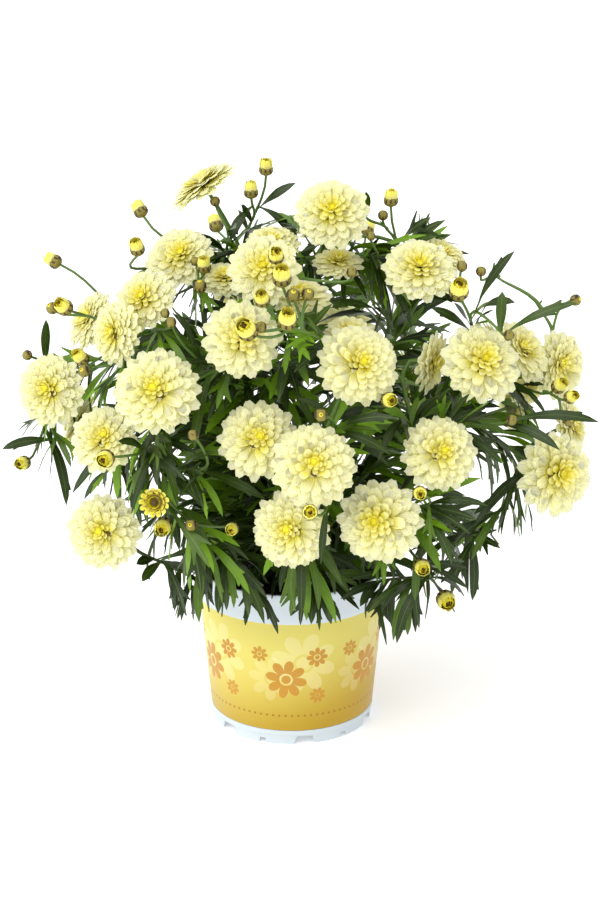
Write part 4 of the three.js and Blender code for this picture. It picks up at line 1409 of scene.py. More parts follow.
# Rows of an open bud's petals: count, root radius, length, angle above level when closed and when
# wide open, inward bend when closed, and layer, which makes them yellower and turns the row
BUD_PETALS = [
    (13, 0.82, 1.40, 84, 40, 30, 0.1),
    (10, 0.64, 1.30, 88, 58, 36, 0.6),
    (7, 0.40, 1.15, 88, 74, 24, 1.0),
]
BUD_PETAL_WIDTH = 0.44
BUD_PETAL_FOOT = 0.95
# What a wide bud's petals and their root radius are of those of a closed one
WIDE_LENGTH, WIDE_ROOT = 0.55, 0.85
# The yellow tips of a young bud, in the order that add_ring takes, as shares of its radius
YOUNG_TIPS = (7, 0.3, 1.5, 0.5, 0.4, 84, -60, 0)
YOUNG_TIP_LAYER = 0.6
# Radius and height of the bowl, and radius and height of the heart
BOWL_RADIUS, OPEN_BOWL, YOUNG_BOWL = 0.94, 1.05, 1.7
BUD_HEART, CLOSED_HEART, WIDE_HEART = 0.26, 1.7, 1.2

# Radii, in millimetres, from which a bud is open, wide open, or shows a yellow tip
OPEN_BUD_RADIUS = 4.5
WIDE_BUD_RADIUS = 7.2
TIP_BUD_RADIUS = 3.9


def sized_ring(ring, radius):
    """A ring whose lengths are shares of a radius."""
    count, *lengths, lift, bend, phase = ring
    return (count, *(length * radius for length in lengths), lift, bend, phase)


def add_bud(cups, tips, patterns, head, draw):
    """A bud: a bulging cup clad in scales, with rings of short petals round a heart of painted shade once it
    opens.
    They close over a small bud and stand open on a large one. The scales of a young bud close over it,
    and some show a yellow tip."""
    bowl, scale, petal, heart = patterns
    radius, axis = head["radius"], head["axis"]
    foot = head["seat"] - axis * radius
    is_open = radius >= OPEN_BUD_RADIUS
    height = radius * (OPEN_BOWL if is_open else YOUNG_BOWL)
    add_turned(cups, bowl, foot, axis, radius * BOWL_RADIUS, height, OLIVE, draw.random())
    length, width, bend = BUD_SCALE
    for count, root, height, lift, phase in BUD_SCALES + ([] if is_open else CLOSING_SCALES):
        ring = (count, root, height, length, width, lift, bend, phase)
        add_ring(cups, scale, foot, axis, sized_ring(ring, radius), OLIVE, draw)
    if is_open:
        is_wide = radius >= WIDE_BUD_RADIUS
        reach = radius * BUD_HEART
        rise = radius * (WIDE_HEART if is_wide else CLOSED_HEART)
        # The heart of an open bud is a ball of painted shade
        add_turned(cups, heart, foot + axis * rise, axis, reach, 2 * reach, PAINTED_HOLE, draw.random())
        for count, root, length, closed, wide, inward, layer in BUD_PETALS:
            lift, bend = (wide, 0) if is_wide else (closed, -inward)
            if is_wide:
                root, length = root * WIDE_ROOT, length * WIDE_LENGTH
            ring = (count, root, BUD_PETAL_FOOT, length, BUD_PETAL_WIDTH, lift, bend, layer)
            add_ring(tips, petal, foot, axis, sized_ring(ring, radius), layer, draw)
    elif radius > TIP_BUD_RADIUS:
        add_ring(tips, petal, foot, axis, sized_ring(YOUNG_TIPS, radius), YOUNG_TIP_LAYER, draw)


# Pot, sleeve and soil

WALL_FOOT = LEDGE_RADIUS - SLEEVE_THICKNESS - SEAT_GAP
WALL_TOP = SLEEVE_TOP_RADIUS - SLEEVE_THICKNESS - SEAT_GAP
CAVITY_FLOOR = SKIRT_HEIGHT + BASE_PLATE
RIDGE_HEIGHT = 96.3
POT_BEVEL, SLEEVE_BEVEL, BEVEL_ANGLE = 0.35, 0.12, 40

# The notches of the foot skirt go round it in pairs of a large one and a small one, and every second
# pair has a drain hole: width at the top and at the foot, height and turn of each notch, and radius,
# distance and turn of the hole
NOTCH_PAIRS = 6
NOTCHES = ((11, 16, 5.6, 9), (4, 6, 3.4, 39))
HOLE_RADIUS, HOLE_DISTANCE, HOLE_TURN = 4, 34, 24
# A notch is cut with a wedge that goes this deep through the skirt and this far below its foot
WEDGE_DEPTH, WEDGE_BELOW = 12, 2


def cavity_radius(height):
    """The inner radius of the pot's wall at a height."""
    share = (height - LEDGE_TOP) / (BAND_BOTTOM - LEDGE_TOP)
    return WALL_FOOT - POT_WALL + (WALL_TOP - WALL_FOOT) * share


def in_metres(outline):
    return [(radius * MM, height * MM) for radius, height in outline]


def cut(made, cutter):
    apply_modifier(made, "BOOLEAN", object=cutter, operation="DIFFERENCE", solver="EXACT")
    bpy.data.objects.remove(cutter)


def foot_notch(top_width, foot_width, height, turn):
    """A wedge that cuts a trapezoid out of the foot skirt, narrow at its top."""
    middle_y = -SKIRT_RADIUS * MM
    bpy.ops.mesh.primitive_cube_add(size=1, location=(0, middle_y, 0))
    made = newest("foot_notch")
    bpy.ops.object.transform_apply(location=True)
    open_mesh(made)
    bpy.ops.mesh.select_all(action="SELECT")
    bpy.ops.transform.resize(value=(foot_width * MM, WEDGE_DEPTH * MM, (height + WEDGE_BELOW) * MM),
                             center_override=(0, middle_y, 0))
    bpy.ops.transform.translate(value=(0, 0, (height - WEDGE_BELOW) / 2 * MM))
    pick(made, "FACE", lambda p: p.z > (height - 0.01) * MM)
    bpy.ops.transform.resize(value=(top_width / foot_width, 1, 1),
                             center_override=(0, middle_y, height * MM))
    bpy.ops.mesh.select_all(action="SELECT")
    bpy.ops.transform.rotate(value=-math.radians(turn), orient_axis="Z", center_override=(0, 0, 0))
    close_mesh()
    return made


def bevel_edges(made, width):
    apply_modifier(made, "BEVEL", width=width * MM, segments=2, limit_method="ANGLE",
                   angle_limit=math.radians(BEVEL_ANGLE))


def round_cutter(radius, depth, place):
    bpy.ops.mesh.primitive_cylinder_add(vertices=24, radius=radius * MM, depth=depth * MM,
                                        location=tuple(place * MM))
    made = newest("round_cutter")
    bpy.ops.object.transform_apply(location=True)
    return made


def pot_piece(material):
    """The injection-moulded pot: foot skirt with notches, ledge, tapering wall and a deep rim band with
    a fine ridge round it."""
    outline = [
        (0, SKIRT_HEIGHT),
        (SKIRT_RADIUS - POT_WALL, SKIRT_HEIGHT),
        (SKIRT_RADIUS - POT_WALL, 0),
        (SKIRT_RADIUS, 0),
        (SKIRT_RADIUS, SKIRT_HEIGHT),
        (LEDGE_RADIUS, SKIRT_HEIGHT),
        (LEDGE_RADIUS, LEDGE_TOP),
        (WALL_FOOT, LEDGE_TOP),
        (WALL_TOP, BAND_BOTTOM),
        (BAND_RADIUS, BAND_BOTTOM),
        (BAND_RADIUS + 0.1, RIDGE_HEIGHT),
        (BAND_RADIUS + 0.5, RIDGE_HEIGHT + 0.3),
        (BAND_RADIUS + 0.7, POT_HEIGHT - 3.4),
        (RIM_RADIUS, POT_HEIGHT - 2.6),
        (RIM_RADIUS, POT_HEIGHT),
        (RIM_RADIUS - 1.8, POT_HEIGHT),
        (cavity_radius(POT_HEIGHT - 4), POT_HEIGHT - 4),
        (cavity_radius(CAVITY_FLOOR), CAVITY_FLOOR),
        (0, CAVITY_FLOOR),
    ]
    made = draw_outline("white_pot", in_metres(outline))
    spin_round(made, ROUND_STEPS)
    for k in range(NOTCH_PAIRS):
        pair_turn = 360 / NOTCH_PAIRS * k
        for top_width, foot_width, height, turn in NOTCHES:
            cut(made, foot_notch(top_width, foot_width, height, turn + pair_turn))
        if k % 2:
            place = on_ring(HOLE_TURN + pair_turn, HOLE_DISTANCE, SKIRT_HEIGHT + BASE_PLATE / 2)
            cut(made, round_cutter(HOLE_RADIUS, 3 * BASE_PLATE, place))
    bevel_edges(made, POT_BEVEL)
    made.data.materials.append(material)
    smooth(made, SHARP_POT)
    return made


def sleeve_piece(material):
    """The printed band round the wall, closed all round."""
    bottom, top = LEDGE_TOP + SEAT_GAP, BAND_BOTTOM - SEAT_GAP
    outline = [
        (LEDGE_RADIUS - SLEEVE_THICKNESS, bottom),
        (LEDGE_RADIUS, bottom),
        (SLEEVE_TOP_RADIUS, top),
        (SLEEVE_TOP_RADIUS - SLEEVE_THICKNESS, top),
        (LEDGE_RADIUS - SLEEVE_THICKNESS, bottom),
    ]
    made = draw_outline("golden_sleeve", in_metres(outline))
    spin_round(made, ROUND_STEPS)
    bevel_edges(made, SLEEVE_BEVEL)
    made.data.materials.append(material)
    smooth(made, SHARP_POT)
    return made


SOIL_RINGS = 11
# The soil is flat at the middle, has lumps on its waves, and falls off near the wall
FLAT_MIDDLE = 6
LUMP_HEIGHT = 0.5
SOIL_EDGE, SOIL_DROP = 9, 3
# A hole is wider than its root and is cut with a rod of this length. Crumbs keep off the roots.
HOLE_GAP, HOLE_CUT, CRUMB_GAP = 1.1, 18, 3
# How many crumbs are strewn and over what share of the way to the wall, between which sizes they lie,
# how flat they are, and how far they stand up, as shares of their size
CRUMBS, CRUMB_REACH = 420, 0.96
CRUMB_SIZES, CRUMB_HEIGHTS, CRUMB_LIFT = (0.7, 2.0), (0.4, 0.9), 0.2


def soil_height(x, y):
    """The uneven top of the soil: its broad waves, and lumps on them."""
    reach = math.hypot(x, y)
    middle = min(1, reach / FLAT_MIDDLE)
    edge = min(1, max(0, (cavity_radius(SOIL_TOP) - reach) / SOIL_EDGE))
    waves = SOIL_BUMP * math.sin(x * 0.31) * math.cos(y * 0.27) * middle
    lumps = math.sin(x * 1.3 + 2 * math.sin(y * 0.9)) * math.cos(y * 1.1 + math.sin(x * 0.7))
    return SOIL_TOP + waves + LUMP_HEIGHT * lumps - SOIL_DROP * (1 - edge)


def soil_piece(material, roots):
    """Potting mix: a plug that fills the pot, lumpy on top, with a hole for each main stem and loose
    crumbs of bark and peat."""
    floor = CAVITY_FLOOR + SEAT_GAP
    brim = cavity_radius(SOIL_TOP - SOIL_DROP) - SEAT_GAP
    outline = [(0, floor), (cavity_radius(floor) - SEAT_GAP, floor), (brim, SOIL_TOP - SOIL_DROP)]
    outline += [(brim * k / SOIL_RINGS, SOIL_TOP) for k in range(SOIL_RINGS - 1, -1, -1)]
    made = draw_outline("potting_soil", in_metres(outline))
    spin_round(made, ROUND_STEPS // 2)
    for v in made.data.vertices:
        if v.co.z > (SOIL_TOP - 1) * MM:
            v.co.z = soil_height(v.co.x / MM, v.co.y / MM) * MM
    for root in roots:
        place = np.array([root[0], root[1], SOIL_TOP])
        cut(made, round_cutter(ROOT_RADIUS + HOLE_GAP, HOLE_CUT, place))
    crumb = crumb_pattern()
    draw = random.Random(77)
    heap = Heap()
    for _ in range(CRUMBS):
        place = on_ring(draw.uniform(0, 360), brim * math.sqrt(draw.random()) * CRUMB_REACH, 0)
        apart = min(math.hypot(place[0] - root[0], place[1] - root[1]) for root in roots)
        if apart < ROOT_RADIUS + CRUMB_GAP:
            continue
        size = draw.uniform(*CRUMB_SIZES)
        lie = unit(np.array([draw.uniform(-1, 1), draw.uniform(-1, 1), draw.uniform(0.2, 1)]))
        place[2] = soil_height(place[0], place[1]) + size * CRUMB_LIFT
        height = size * draw.uniform(*CRUMB_HEIGHTS)
        add_turned(heap, crumb, place, lie, size, height, 1, draw.random())
    crumbs = heap.finish("crumbs", material)
    made.data.materials.append(material)
    activate(made)
    crumbs.select_set(True)
    bpy.ops.object.join()
    smooth(made, SHARP_SOIL)
    return made


def crumb_pattern():
    """A crumb: a rough ball with one side pulled out."""
    bpy.ops.mesh.primitive_ico_sphere_add(subdivisions=1, radius=1)
    made = newest("crumb")
    open_mesh(made)
    pick(made, "VERT", lambda p: p.x > 0.4)
    bpy.ops.transform.translate(value=(0.35, 0.1, 0))
    close_mesh()
    return Pattern(made)


# Finishes

class Nodes:
    """Short ways to add nodes to a material or a node group."""

    def __init__(self, tree):
        self.tree = tree

    def put(self, socket, value):
        if isinstance(value, bpy.types.NodeSocket):
            self.tree.links.new(value, socket)
        else:
            socket.default_value = value

    def add(self, kind, inputs=None, **settings):
        node = self.tree.nodes.new(kind)
        for key, value in settings.items():
            setattr(node, key, value)
        for key, value in (inputs or {}).items():
            self.put(node.inputs[key], value)
        return node

    def math(self, operation, *values):
        node = self.add("ShaderNodeMath", operation=operation)
        for socket, value in zip(node.inputs, values):
            self.put(socket, value)
        return node.outputs[0]

    def ramp(self, value, low, high):
        """0 below low, 1 above high and smooth between them. A high below low turns it round."""
        node = self.add("ShaderNodeMapRange", interpolation_type="SMOOTHSTEP")
        for key, setting in (("Value", value), ("From Min", low), ("From Max", high)):
            self.put(node.inputs[key], setting)
        return node.outputs["Result"]

    def mix(self, share, first, second):
        """A colour between two, by the share of the second."""
        node = self.add("ShaderNodeMix", data_type="RGBA")
        for socket, value in ((node.inputs[0], share), (node.inputs[6], first), (node.inputs[7], second)):
            self.put(socket, value)
        return node.outputs[2]

    def length(self, x, y):
        """The length of a step on a flat sheet."""
        squares = self.math("ADD", self.math("MULTIPLY", x, x), self.math("MULTIPLY", y, y))
        return self.math("SQRT", squares)

    def group(self, tree, inputs=None):
        node = self.add("ShaderNodeGroup", node_tree=tree)
        for key, value in (inputs or {}).items():
            self.put(node.inputs[key], value)
        return node.outputs


def new_group(name, inputs, outputs):
    """An empty node group with its named sockets: its nodes, its input sockets and its output node."""
    tree = bpy.data.node_groups.new(name, "ShaderNodeTree")
    for label, value in inputs:
        kind = "NodeSocketFloat" if isinstance(value, (int, float)) else "NodeSocketColor"
        tree.interface.new_socket(label, in_out="INPUT", socket_type=kind).default_value = value
    for label, kind in outputs:
        tree.interface.new_socket(label, in_out="OUTPUT", socket_type=kind)
    nodes = Nodes(tree)
    return nodes, nodes.add("NodeGroupInput").outputs, nodes.add("NodeGroupOutput")


def marks_group():
    """Where a point lies on its petal, leaf or scale: along it, across it, which layer, and a draw that
    is its own."""
    nodes, _, out = new_group("marks", [], [(label, "NodeSocketFloat")
                                            for label in ("Along", "Across", "Layer", "Draw")])
    mark = nodes.add("ShaderNodeAttribute", attribute_name="mark")
    parts = nodes.add("ShaderNodeSeparateColor", {"Color": mark.outputs["Color"]})
    nodes.put(out.inputs["Along"], parts.outputs["Red"])
    nodes.put(out.inputs["Across"], parts.outputs["Green"])
    nodes.put(out.inputs["Layer"], parts.outputs["Blue"])
    nodes.put(out.inputs["Draw"], mark.outputs["Alpha"])
    return out.id_data


def mottle_group():
    """Uneven colour of living tissue, soil or plastic: light and dark patches of a size."""
    nodes, given, out = new_group("mottle", [("Color", (1, 1, 1, 1)), ("Scale", 100.0), ("Amount", 0.2)],
                                  [("Color", "NodeSocketColor"), ("Height", "NodeSocketFloat")])
    place = nodes.add("ShaderNodeTexCoord").outputs["Object"]
    noise = nodes.add("ShaderNodeTexNoise", {"Vector": place, "Scale": given["Scale"], "Detail": 3.0})
    swing = nodes.math("MULTIPLY", nodes.math("SUBTRACT", noise.outputs["Fac"], 0.5), 2.0)
    value = nodes.math("MULTIPLY_ADD", swing, given["Amount"], 1.0)
    tint = nodes.add("ShaderNodeHueSaturation", {"Value": value, "Color": given["Color"]})
    nodes.put(out.inputs["Color"], tint.outputs["Color"])
    nodes.put(out.inputs["Height"], noise.outputs["Fac"])
    return out.id_data


def daisy_group():
    """A printed daisy: eight round petals with a gap round a disc, as a mask over a flat sheet that is
    measured in millimetres."""
    nodes, given, out = new_group("printed daisy", [("U", 0.0), ("V", 0.0), ("Centre U", 0.0),
                                                    ("Centre V", 0.0), ("Radius", 10.0), ("Turn", 0.0)],
                                  [("Mask", "NodeSocketFloat")])
    du = nodes.math("SUBTRACT", given["U"], given["Centre U"])
    dv = nodes.math("SUBTRACT", given["V"], given["Centre V"])
    share = nodes.math("DIVIDE", nodes.length(du, dv), given["Radius"])
    angle = nodes.math("ADD", nodes.math("ARCTAN2", dv, du), given["Turn"])
    wave = nodes.math("ABSOLUTE", nodes.math("COSINE", nodes.math("MULTIPLY", angle, 4.0)))
    edge = nodes.math("MULTIPLY_ADD", nodes.math("POWER", wave, 0.5), 0.62, 0.38)
    petals = nodes.ramp(nodes.math("SUBTRACT", edge, share), 0.0, 0.03)
    gap = nodes.ramp(share, 0.30, 0.33)
    disc = nodes.ramp(share, 0.24, 0.21)
    nodes.put(out.inputs["Mask"], nodes.math("MAXIMUM", nodes.math("MULTIPLY", petals, gap), disc))
    return out.id_data


def finish_of(name, constants):
    """A new material with these fixed values on its Principled shader: the material, its nodes and
    the shader."""
    material = bpy.data.materials.new(name)
    material.use_nodes = True
    shader = material.node_tree.nodes["Principled BSDF"]
    for key, value in constants.items():
        shader.inputs[key].default_value = value
    return material, Nodes(material.node_tree), shader


def bump(nodes, shader, height, strength, distance):
    """Relief that a height gives the surface of a shader."""
    node = nodes.add("ShaderNodeBump", {"Strength": strength, "Distance": distance, "Height": height})
    nodes.put(shader.inputs["Normal"], node.outputs["Normal"])


def petal_finish(marks, mottle):
    """Thin waxy petals: cream tips that turn lemon towards the root and the heart, with fine grooves."""
    material, nodes, shader = finish_of("cream petal", {
        "Roughness": 0.55, "Subsurface Weight": 0.6, "Subsurface Radius": (0.005, 0.005, 0.002),
        "Subsurface Scale": 1.0, "Specular IOR Level": 0.3})
    mark = nodes.group(marks)
    deep = nodes.math("MULTIPLY_ADD", mark["Layer"], 0.75, nodes.math("MULTIPLY", mark["Draw"], 0.12))
    share = nodes.ramp(nodes.math("SUBTRACT", mark["Along"], deep), -0.1, 0.8)
    color = nodes.mix(share, linear(LEMON), linear(CREAM))
    # Painted shade: the ball in a bloom's gap turns dark
    color = nodes.mix(nodes.ramp(mark["Layer"], 1.5, 1.9), color, linear(GAP_SHADE))
    color = nodes.group(mottle, {"Color": color, "Scale": 160.0, "Amount": 0.1})["Color"]
    nodes.put(shader.inputs["Base Color"], color)
    grooves = nodes.math("SINE", nodes.math("MULTIPLY", mark["Across"], 15.0))
    bump(nodes, shader, grooves, 0.2, 0.0005)
    return material


def bud_petal_finish(marks, mottle):
    """Petals that are still folded: pale outside, deep yellow inside, and greener at the root."""
    material, nodes, shader = finish_of("folded petal", {
        "Roughness": 0.5, "Subsurface Weight": 0.15, "Subsurface Radius": (0.003, 0.003, 0.001),
        "Specular IOR Level": 0.3})
    mark = nodes.group(marks)
    tip = nodes.ramp(mark["Along"], 0.15, 0.7)
    outer = nodes.mix(tip, linear(OUTER_BUD_ROOT), linear(OUTER_BUD_TIP))
    inner = nodes.mix(tip, linear(INNER_BUD_ROOT), linear(INNER_BUD_TIP))
    color = nodes.mix(nodes.ramp(mark["Layer"], 0.1, 1.0), outer, inner)
    color = nodes.group(mottle, {"Color": color, "Scale": 300.0, "Amount": 0.12})["Color"]
    nodes.put(shader.inputs["Base Color"], color)
    bump(nodes, shader, nodes.math("SINE", nodes.math("MULTIPLY", mark["Across"], 9.0)), 0.4, 0.0004)
    return material


def leaf_finish(marks, mottle):
    """Leaves drawn at random between a painted shaded green and a painted lit green, with a pale rib and
    root, and painted shade that darkens them low in the plant.
    """
    material, nodes, shader = finish_of("daisy leaf", {
        "Roughness": 0.36, "Specular IOR Level": 0.3,
        "Subsurface Weight": 0.06, "Subsurface Radius": (0.001, 0.003, 0.0005)})
    mark = nodes.group(marks)
    # Painted light and shade: each leaf draws a random mix of a shaded and a lit green
    color = nodes.mix(nodes.ramp(mark["Draw"], 0.3, 1.0), linear(LEAF_SHADE), linear(LEAF_LIGHT))
    # Painted shade: leaves darken low in the plant
    color = nodes.mix(nodes.ramp(mark["Layer"], 0.1, 1.0), color, linear(LEAF_LOW_SHADE))
    rib = nodes.math("MULTIPLY", nodes.ramp(mark["Across"], 0.09, 0.0), 0.25)
    color = nodes.mix(rib, color, linear(LEAF_RIB))
    root = nodes.math("MULTIPLY", nodes.ramp(mark["Along"], 0.3, 0.0), 0.6)
    color = nodes.mix(root, color, linear(LEAF_ROOT))
    patch = nodes.group(mottle, {"Color": color, "Scale": 120.0, "Amount": 0.3})
    nodes.put(shader.inputs["Base Color"], patch["Color"])
    fine = nodes.group(mottle, {"Color": color, "Scale": 900.0, "Amount": 0.1})
    bump(nodes, shader, fine["Height"], 0.35, 0.0006)
    return material


def stalk_finish(mottle):
    """Fresh green stalks, duller and browner near the soil, with a fine uneven skin."""
    material, nodes, shader = finish_of("green stalk", {
        "Roughness": 0.5, "Subsurface Weight": 0.05, "Subsurface Radius": (0.001, 0.002, 0.0005)})
    place = nodes.add("ShaderNodeTexCoord").outputs["Object"]
    height = nodes.add("ShaderNodeSeparateXYZ", {"Vector": place}).outputs["Z"]
    color = nodes.mix(nodes.ramp(height, 0.12, 0.26), linear(STALK_LOW), linear(STALK_HIGH))
    patch = nodes.group(mottle, {"Color": color, "Scale": 90.0, "Amount": 0.22})
    nodes.put(shader.inputs["Base Color"], patch["Color"])
    fine = nodes.group(mottle, {"Color": color, "Scale": 1400.0, "Amount": 0.1})
    bump(nodes, shader, fine["Height"], 0.3, 0.0005)
    return material


def cup_finish(marks, mottle):
    """Scales of the cups: green under a bloom, brown-edged olive on a bud, and the painted shade of the hole
    in it.
    """
    material, nodes, shader = finish_of("cup scale", {"Roughness": 0.6})
    mark = nodes.group(marks)
    sides, tip = nodes.ramp(mark["Across"], 0.45, 0.85), nodes.ramp(mark["Along"], 0.65, 0.95)
    edge = nodes.math("MAXIMUM", sides, tip)
    green = nodes.mix(edge, linear(CUP_GREEN), linear(CUP_EDGE))
    olive = nodes.mix(edge, linear(BUD_OLIVE), linear(BUD_EDGE))
    color = nodes.mix(nodes.ramp(mark["Layer"], 0.6, 0.85), green, olive)
    # Painted shade: a bud's heart turns dark
    color = nodes.mix(nodes.ramp(mark["Layer"], 1.5, 1.9), color, linear(BUD_HOLE_SHADE))
    patch = nodes.group(mottle, {"Color": color, "Scale": 260.0, "Amount": 0.35})
    nodes.put(shader.inputs["Base Color"], patch["Color"])
    bump(nodes, shader, patch["Height"], 0.4, 0.0008)
    return material


def pot_finish(mottle):
    """Injection-moulded white plastic, slightly blue and satin, with the faint unevenness of a mould."""
    material, nodes, shader = finish_of("white plastic", {"Specular IOR Level": 0.5})
    patch = nodes.group(mottle, {"Color": linear(POT_WHITE), "Scale": 22.0, "Amount": 0.02})
    nodes.put(shader.inputs["Base Color"], patch["Color"])
    nodes.put(shader.inputs["Roughness"], nodes.math("MULTIPLY_ADD", patch["Height"], 0.14, 0.26))
    fine = nodes.group(mottle, {"Color": (1, 1, 1, 1), "Scale": 1500.0, "Amount": 0.0})
    bump(nodes, shader, fine["Height"], 0.06, 0.0005)
    return material


# The print repeats in cells round the sleeve, with a row of dots below it, in millimetres. It turns
# from gold to pale over some height, which sways round the sleeve.
SLEEVE_CELLS = 6
SLEEVE_RADIUS = 61
CELL_DOTS, DOT_HEIGHT, DOT_RADIUS = 14, 22.0, 0.95
GOLD_TOP, PALE_FOOT, GOLD_SWAY = 8.0, 84.0, -16.0
# The daisies of one cell: place across and up, radius, turn, how strong, and the ink
PRINTED_DAISIES = [
    (8, 62, 23, 0.3, 0.17, PALE_PRINT),
    (-14, 50, 17, 0.1, 0.12, PALE_PRINT),
    (-4, 50, 14.5, 0.2, 0.95, AMBER),
    (17, 66, 7.5, 0.0, 0.95, AMBER),
    (18, 37, 6, 0.3, 0.9, AMBER),
    (-22, 68, 6, 0.1, 0.9, AMBER),
]


def sleeve_finish(mottle, daisy):
    """Satin printed film: gold that pales towards the top, faint pale daisies, amber ones and dots."""
    material, nodes, shader = finish_of("golden print", {"Roughness": 0.4, "Specular IOR Level": 0.3,
                                                         "Coat Weight": 0.1, "Coat Roughness": 0.15})
    place = nodes.add("ShaderNodeTexCoord").outputs["Object"]
    x, y, z = nodes.add("ShaderNodeSeparateXYZ", {"Vector": place}).outputs
    turn = nodes.math("ARCTAN2", x, nodes.math("MULTIPLY", y, -1.0))
    around = nodes.math("MULTIPLY", turn, float(SLEEVE_RADIUS))
    cell = 2 * math.pi * SLEEVE_RADIUS / SLEEVE_CELLS
    u = nodes.math("WRAP", around, cell / 2, -cell / 2)
    v = nodes.math("MULTIPLY", z, 1000.0)
    sway = nodes.math("MULTIPLY", nodes.math("SINE", nodes.math("SUBTRACT", turn, 0.4)), GOLD_SWAY)
    level = nodes.ramp(nodes.math("ADD", v, sway), GOLD_TOP, PALE_FOOT)
    color = nodes.mix(level, linear(GOLD), linear(PALE_GOLD))
    for centre_u, centre_v, radius, turned, strength, ink in PRINTED_DAISIES:
        mask = nodes.group(daisy, {"U": u, "V": v, "Centre U": float(centre_u), "Centre V": float(centre_v),
                                   "Radius": float(radius), "Turn": turned})["Mask"]
        color = nodes.mix(nodes.math("MULTIPLY", mask, strength), color, linear(ink))
    step = cell / CELL_DOTS
    dot_u = nodes.math("WRAP", around, step / 2, -step / 2)
    dot_v = nodes.math("SUBTRACT", v, DOT_HEIGHT)
    dot = nodes.ramp(nodes.length(dot_u, dot_v), DOT_RADIUS, DOT_RADIUS - 0.1)
    color = nodes.mix(dot, color, linear(DOT_INK))
    patch = nodes.group(mottle, {"Color": color, "Scale": 30.0, "Amount": 0.04})
    nodes.put(shader.inputs["Base Color"], patch["Color"])
    fine = nodes.group(mottle, {"Color": color, "Scale": 900.0, "Amount": 0.0})
    bump(nodes, shader, fine["Height"], 0.04, 0.0005)
    return material


def soil_finish(mottle):
    """Dark damp potting mix."""
    material, nodes, shader = finish_of("potting mix", {"Roughness": 0.85, "Specular IOR Level": 0.3})
    coarse = nodes.group(mottle, {"Color": linear(PEAT), "Scale": 150.0, "Amount": 0.7})
    fine = nodes.group(mottle, {"Color": coarse["Color"], "Scale": 900.0, "Amount": 0.6})
    nodes.put(shader.inputs["Base Color"], fine["Color"])
    bump(nodes, shader, fine["Height"], 0.9, 0.002)
    return material


# Camera, floor and light

# A white sweep that glows a little, a bright white surround, and one soft key light from the upper
# left: where it stands, how wide it looks in degrees, and its strength
FLOOR_GLOW = 0.25
SURROUND_STRENGTH = 0.98
KEY_PLACE, KEY_SOFTNESS, KEY_STRENGTH = (-1.8, -1.5, 2.3), 55, 1.75
PLANT_MIDDLE = (0, 0, 0.2)


def make_camera():
    data = bpy.data.cameras.new("camera")
    data.sensor_width = 36
    data.lens = data.sensor_width * FOCAL / max(PHOTO_WIDTH, PHOTO_HEIGHT)
    camera = add_object("camera", data)
    camera.location = (0, -VIEW_DISTANCE * MM, VIEW_HEIGHT * MM)
    camera.rotation_euler = (math.radians(90 - VIEW_PITCH), 0, -math.radians(VIEW_PAN))
    bpy.context.scene.camera = camera


def make_floor(mottle):
    bpy.ops.mesh.primitive_plane_add(size=60)
    floor = newest("floor")
    material, nodes, shader = finish_of("pale floor", {
        "Roughness": 0.8, "Specular IOR Level": 0.1,
        "Emission Color": (1, 1, 1, 1), "Emission Strength": FLOOR_GLOW})
    patch = nodes.group(mottle, {"Color": linear(FLOOR_WHITE), "Scale": 3.0, "Amount": 0.01})
    nodes.put(shader.inputs["Base Color"], patch["Color"])
    floor.data.materials.append(material)


def make_key_light():
    """A far soft light that shines from its place towards the plant."""
    data = bpy.data.lights.new("key", "SUN")
    data.angle = math.radians(KEY_SOFTNESS)
    data.energy = KEY_STRENGTH
    light = add_object("key", data)
    light.location = KEY_PLACE
    light.rotation_euler = (Vector(PLANT_MIDDLE) - Vector(KEY_PLACE)).to_track_quat("-Z", "Y").to_euler()


def light_studio():
    world = bpy.data.worlds.new("studio")
    world.use_nodes = True
    surround = world.node_tree.nodes["Background"]
    surround.inputs["Color"].default_value = (1, 1, 1, 1)
    surround.inputs["Strength"].default_value = SURROUND_STRENGTH
    bpy.context.scene.world = world
    make_key_light()
    bpy.context.scene.view_settings.view_transform = "Standard"


# The whole plant

def keep(piece, slot, *nodes):
    """Gives a piece its body and hides the nodes that it replaces. The slot is not used."""
    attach(piece, "root")
    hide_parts(*nodes)


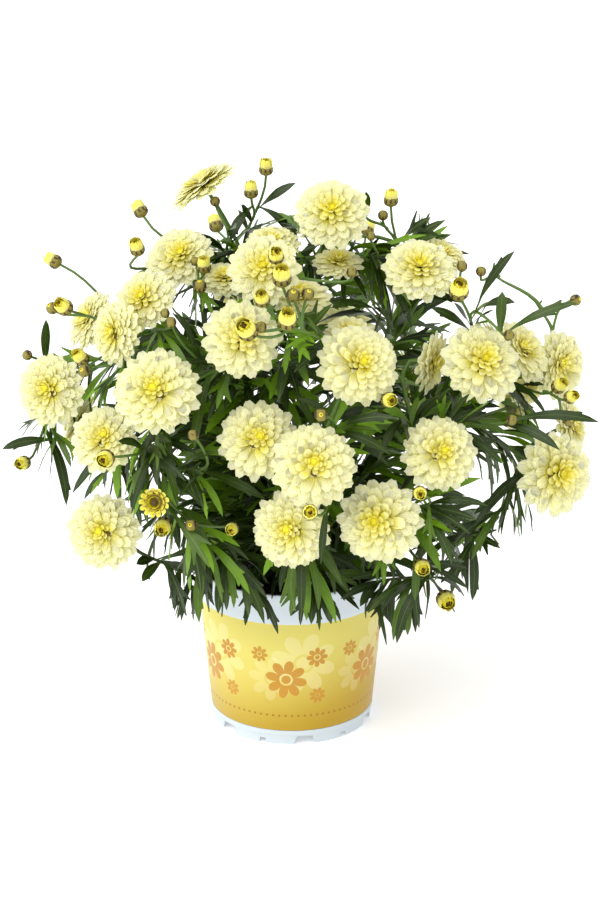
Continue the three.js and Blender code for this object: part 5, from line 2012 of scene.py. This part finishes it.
def make_plant(marks, mottle):
    """Makes and keeps every piece of the plant, and returns its main stems."""
    petal_material = petal_finish(marks, mottle)
    bud_material = bud_petal_finish(marks, mottle)
    leaf_material = leaf_finish(marks, mottle)
    stalk_material = stalk_finish(mottle)
    cup_material = cup_finish(marks, mottle)
    petals = [petal_pattern("petal", *PETAL_FORM), petal_pattern("inner_petal", *INNER_PETAL_FORM)]
    eye = eye_pattern()
    for number, head in enumerate(blooms, 1):
        piece = bloom_piece(number, head, petals, eye, petal_material)
        keep(piece, "petals", f"bloom_{number:02d}")
    stems = grow_stems()
    leaves = {name: leaf_pattern(f"{name}_leaf", *form) for name, form in LEAF_KINDS.items()}
    cup = bowl_pattern("cup", CUP_PROFILE)
    bud_bowl = bowl_pattern("bud_bowl", BUD_PROFILE)
    scale = petal_pattern("scale", *SCALE_FORM)
    bud_petal = petal_pattern("bud_petal", *BUD_PETAL_FORM)
    heaps = [Heap() for _ in stems]
    add_key_leaves(heaps, leaves, stems)
    for number, stem in enumerate(stems):
        add_stem_leaves(heaps[number], list(leaves.values()), stem, number)
        add_foot_leaves(heaps[number], list(leaves.values()), stem, number)
        cups, tips = Heap(), Heap()
        draw = random.Random(500 + number)
        for route in stem["routes"]:
            head = route["head"]
            if head["type"] == "bloom":
                add_bloom_cup(cups, cup, scale, head, draw)
            elif head["type"] == "bud":
                add_bud(cups, tips, (bud_bowl, scale, bud_petal, eye), head, draw)
        node, label = f"leafy_stem_{number + 1:02d}", f"{number + 1:02d}"
        keep(stalks_piece(number + 1, stem, stalk_material), "foliage", node)
        keep(heaps[number].finish(f"leaves_{label}", leaf_material), "foliage", node)
        keep(cups.finish(f"cups_{label}", cup_material), "foliage", node)
        if tips.count:
            keep(tips.finish(f"bud_petals_{label}", bud_material), "petals", node)
    return stems


make_camera()
marks, mottle, daisy = marks_group(), mottle_group(), daisy_group()
stems = make_plant(marks, mottle)
keep(pot_piece(pot_finish(mottle)), "white_plastic", "pot")
keep(sleeve_piece(sleeve_finish(mottle, daisy)), "printed_sleeve", "sleeve")
keep(soil_piece(soil_finish(mottle), [stem["root"] for stem in stems]), "potting_mix", "soil")
make_floor(mottle)
light_studio()
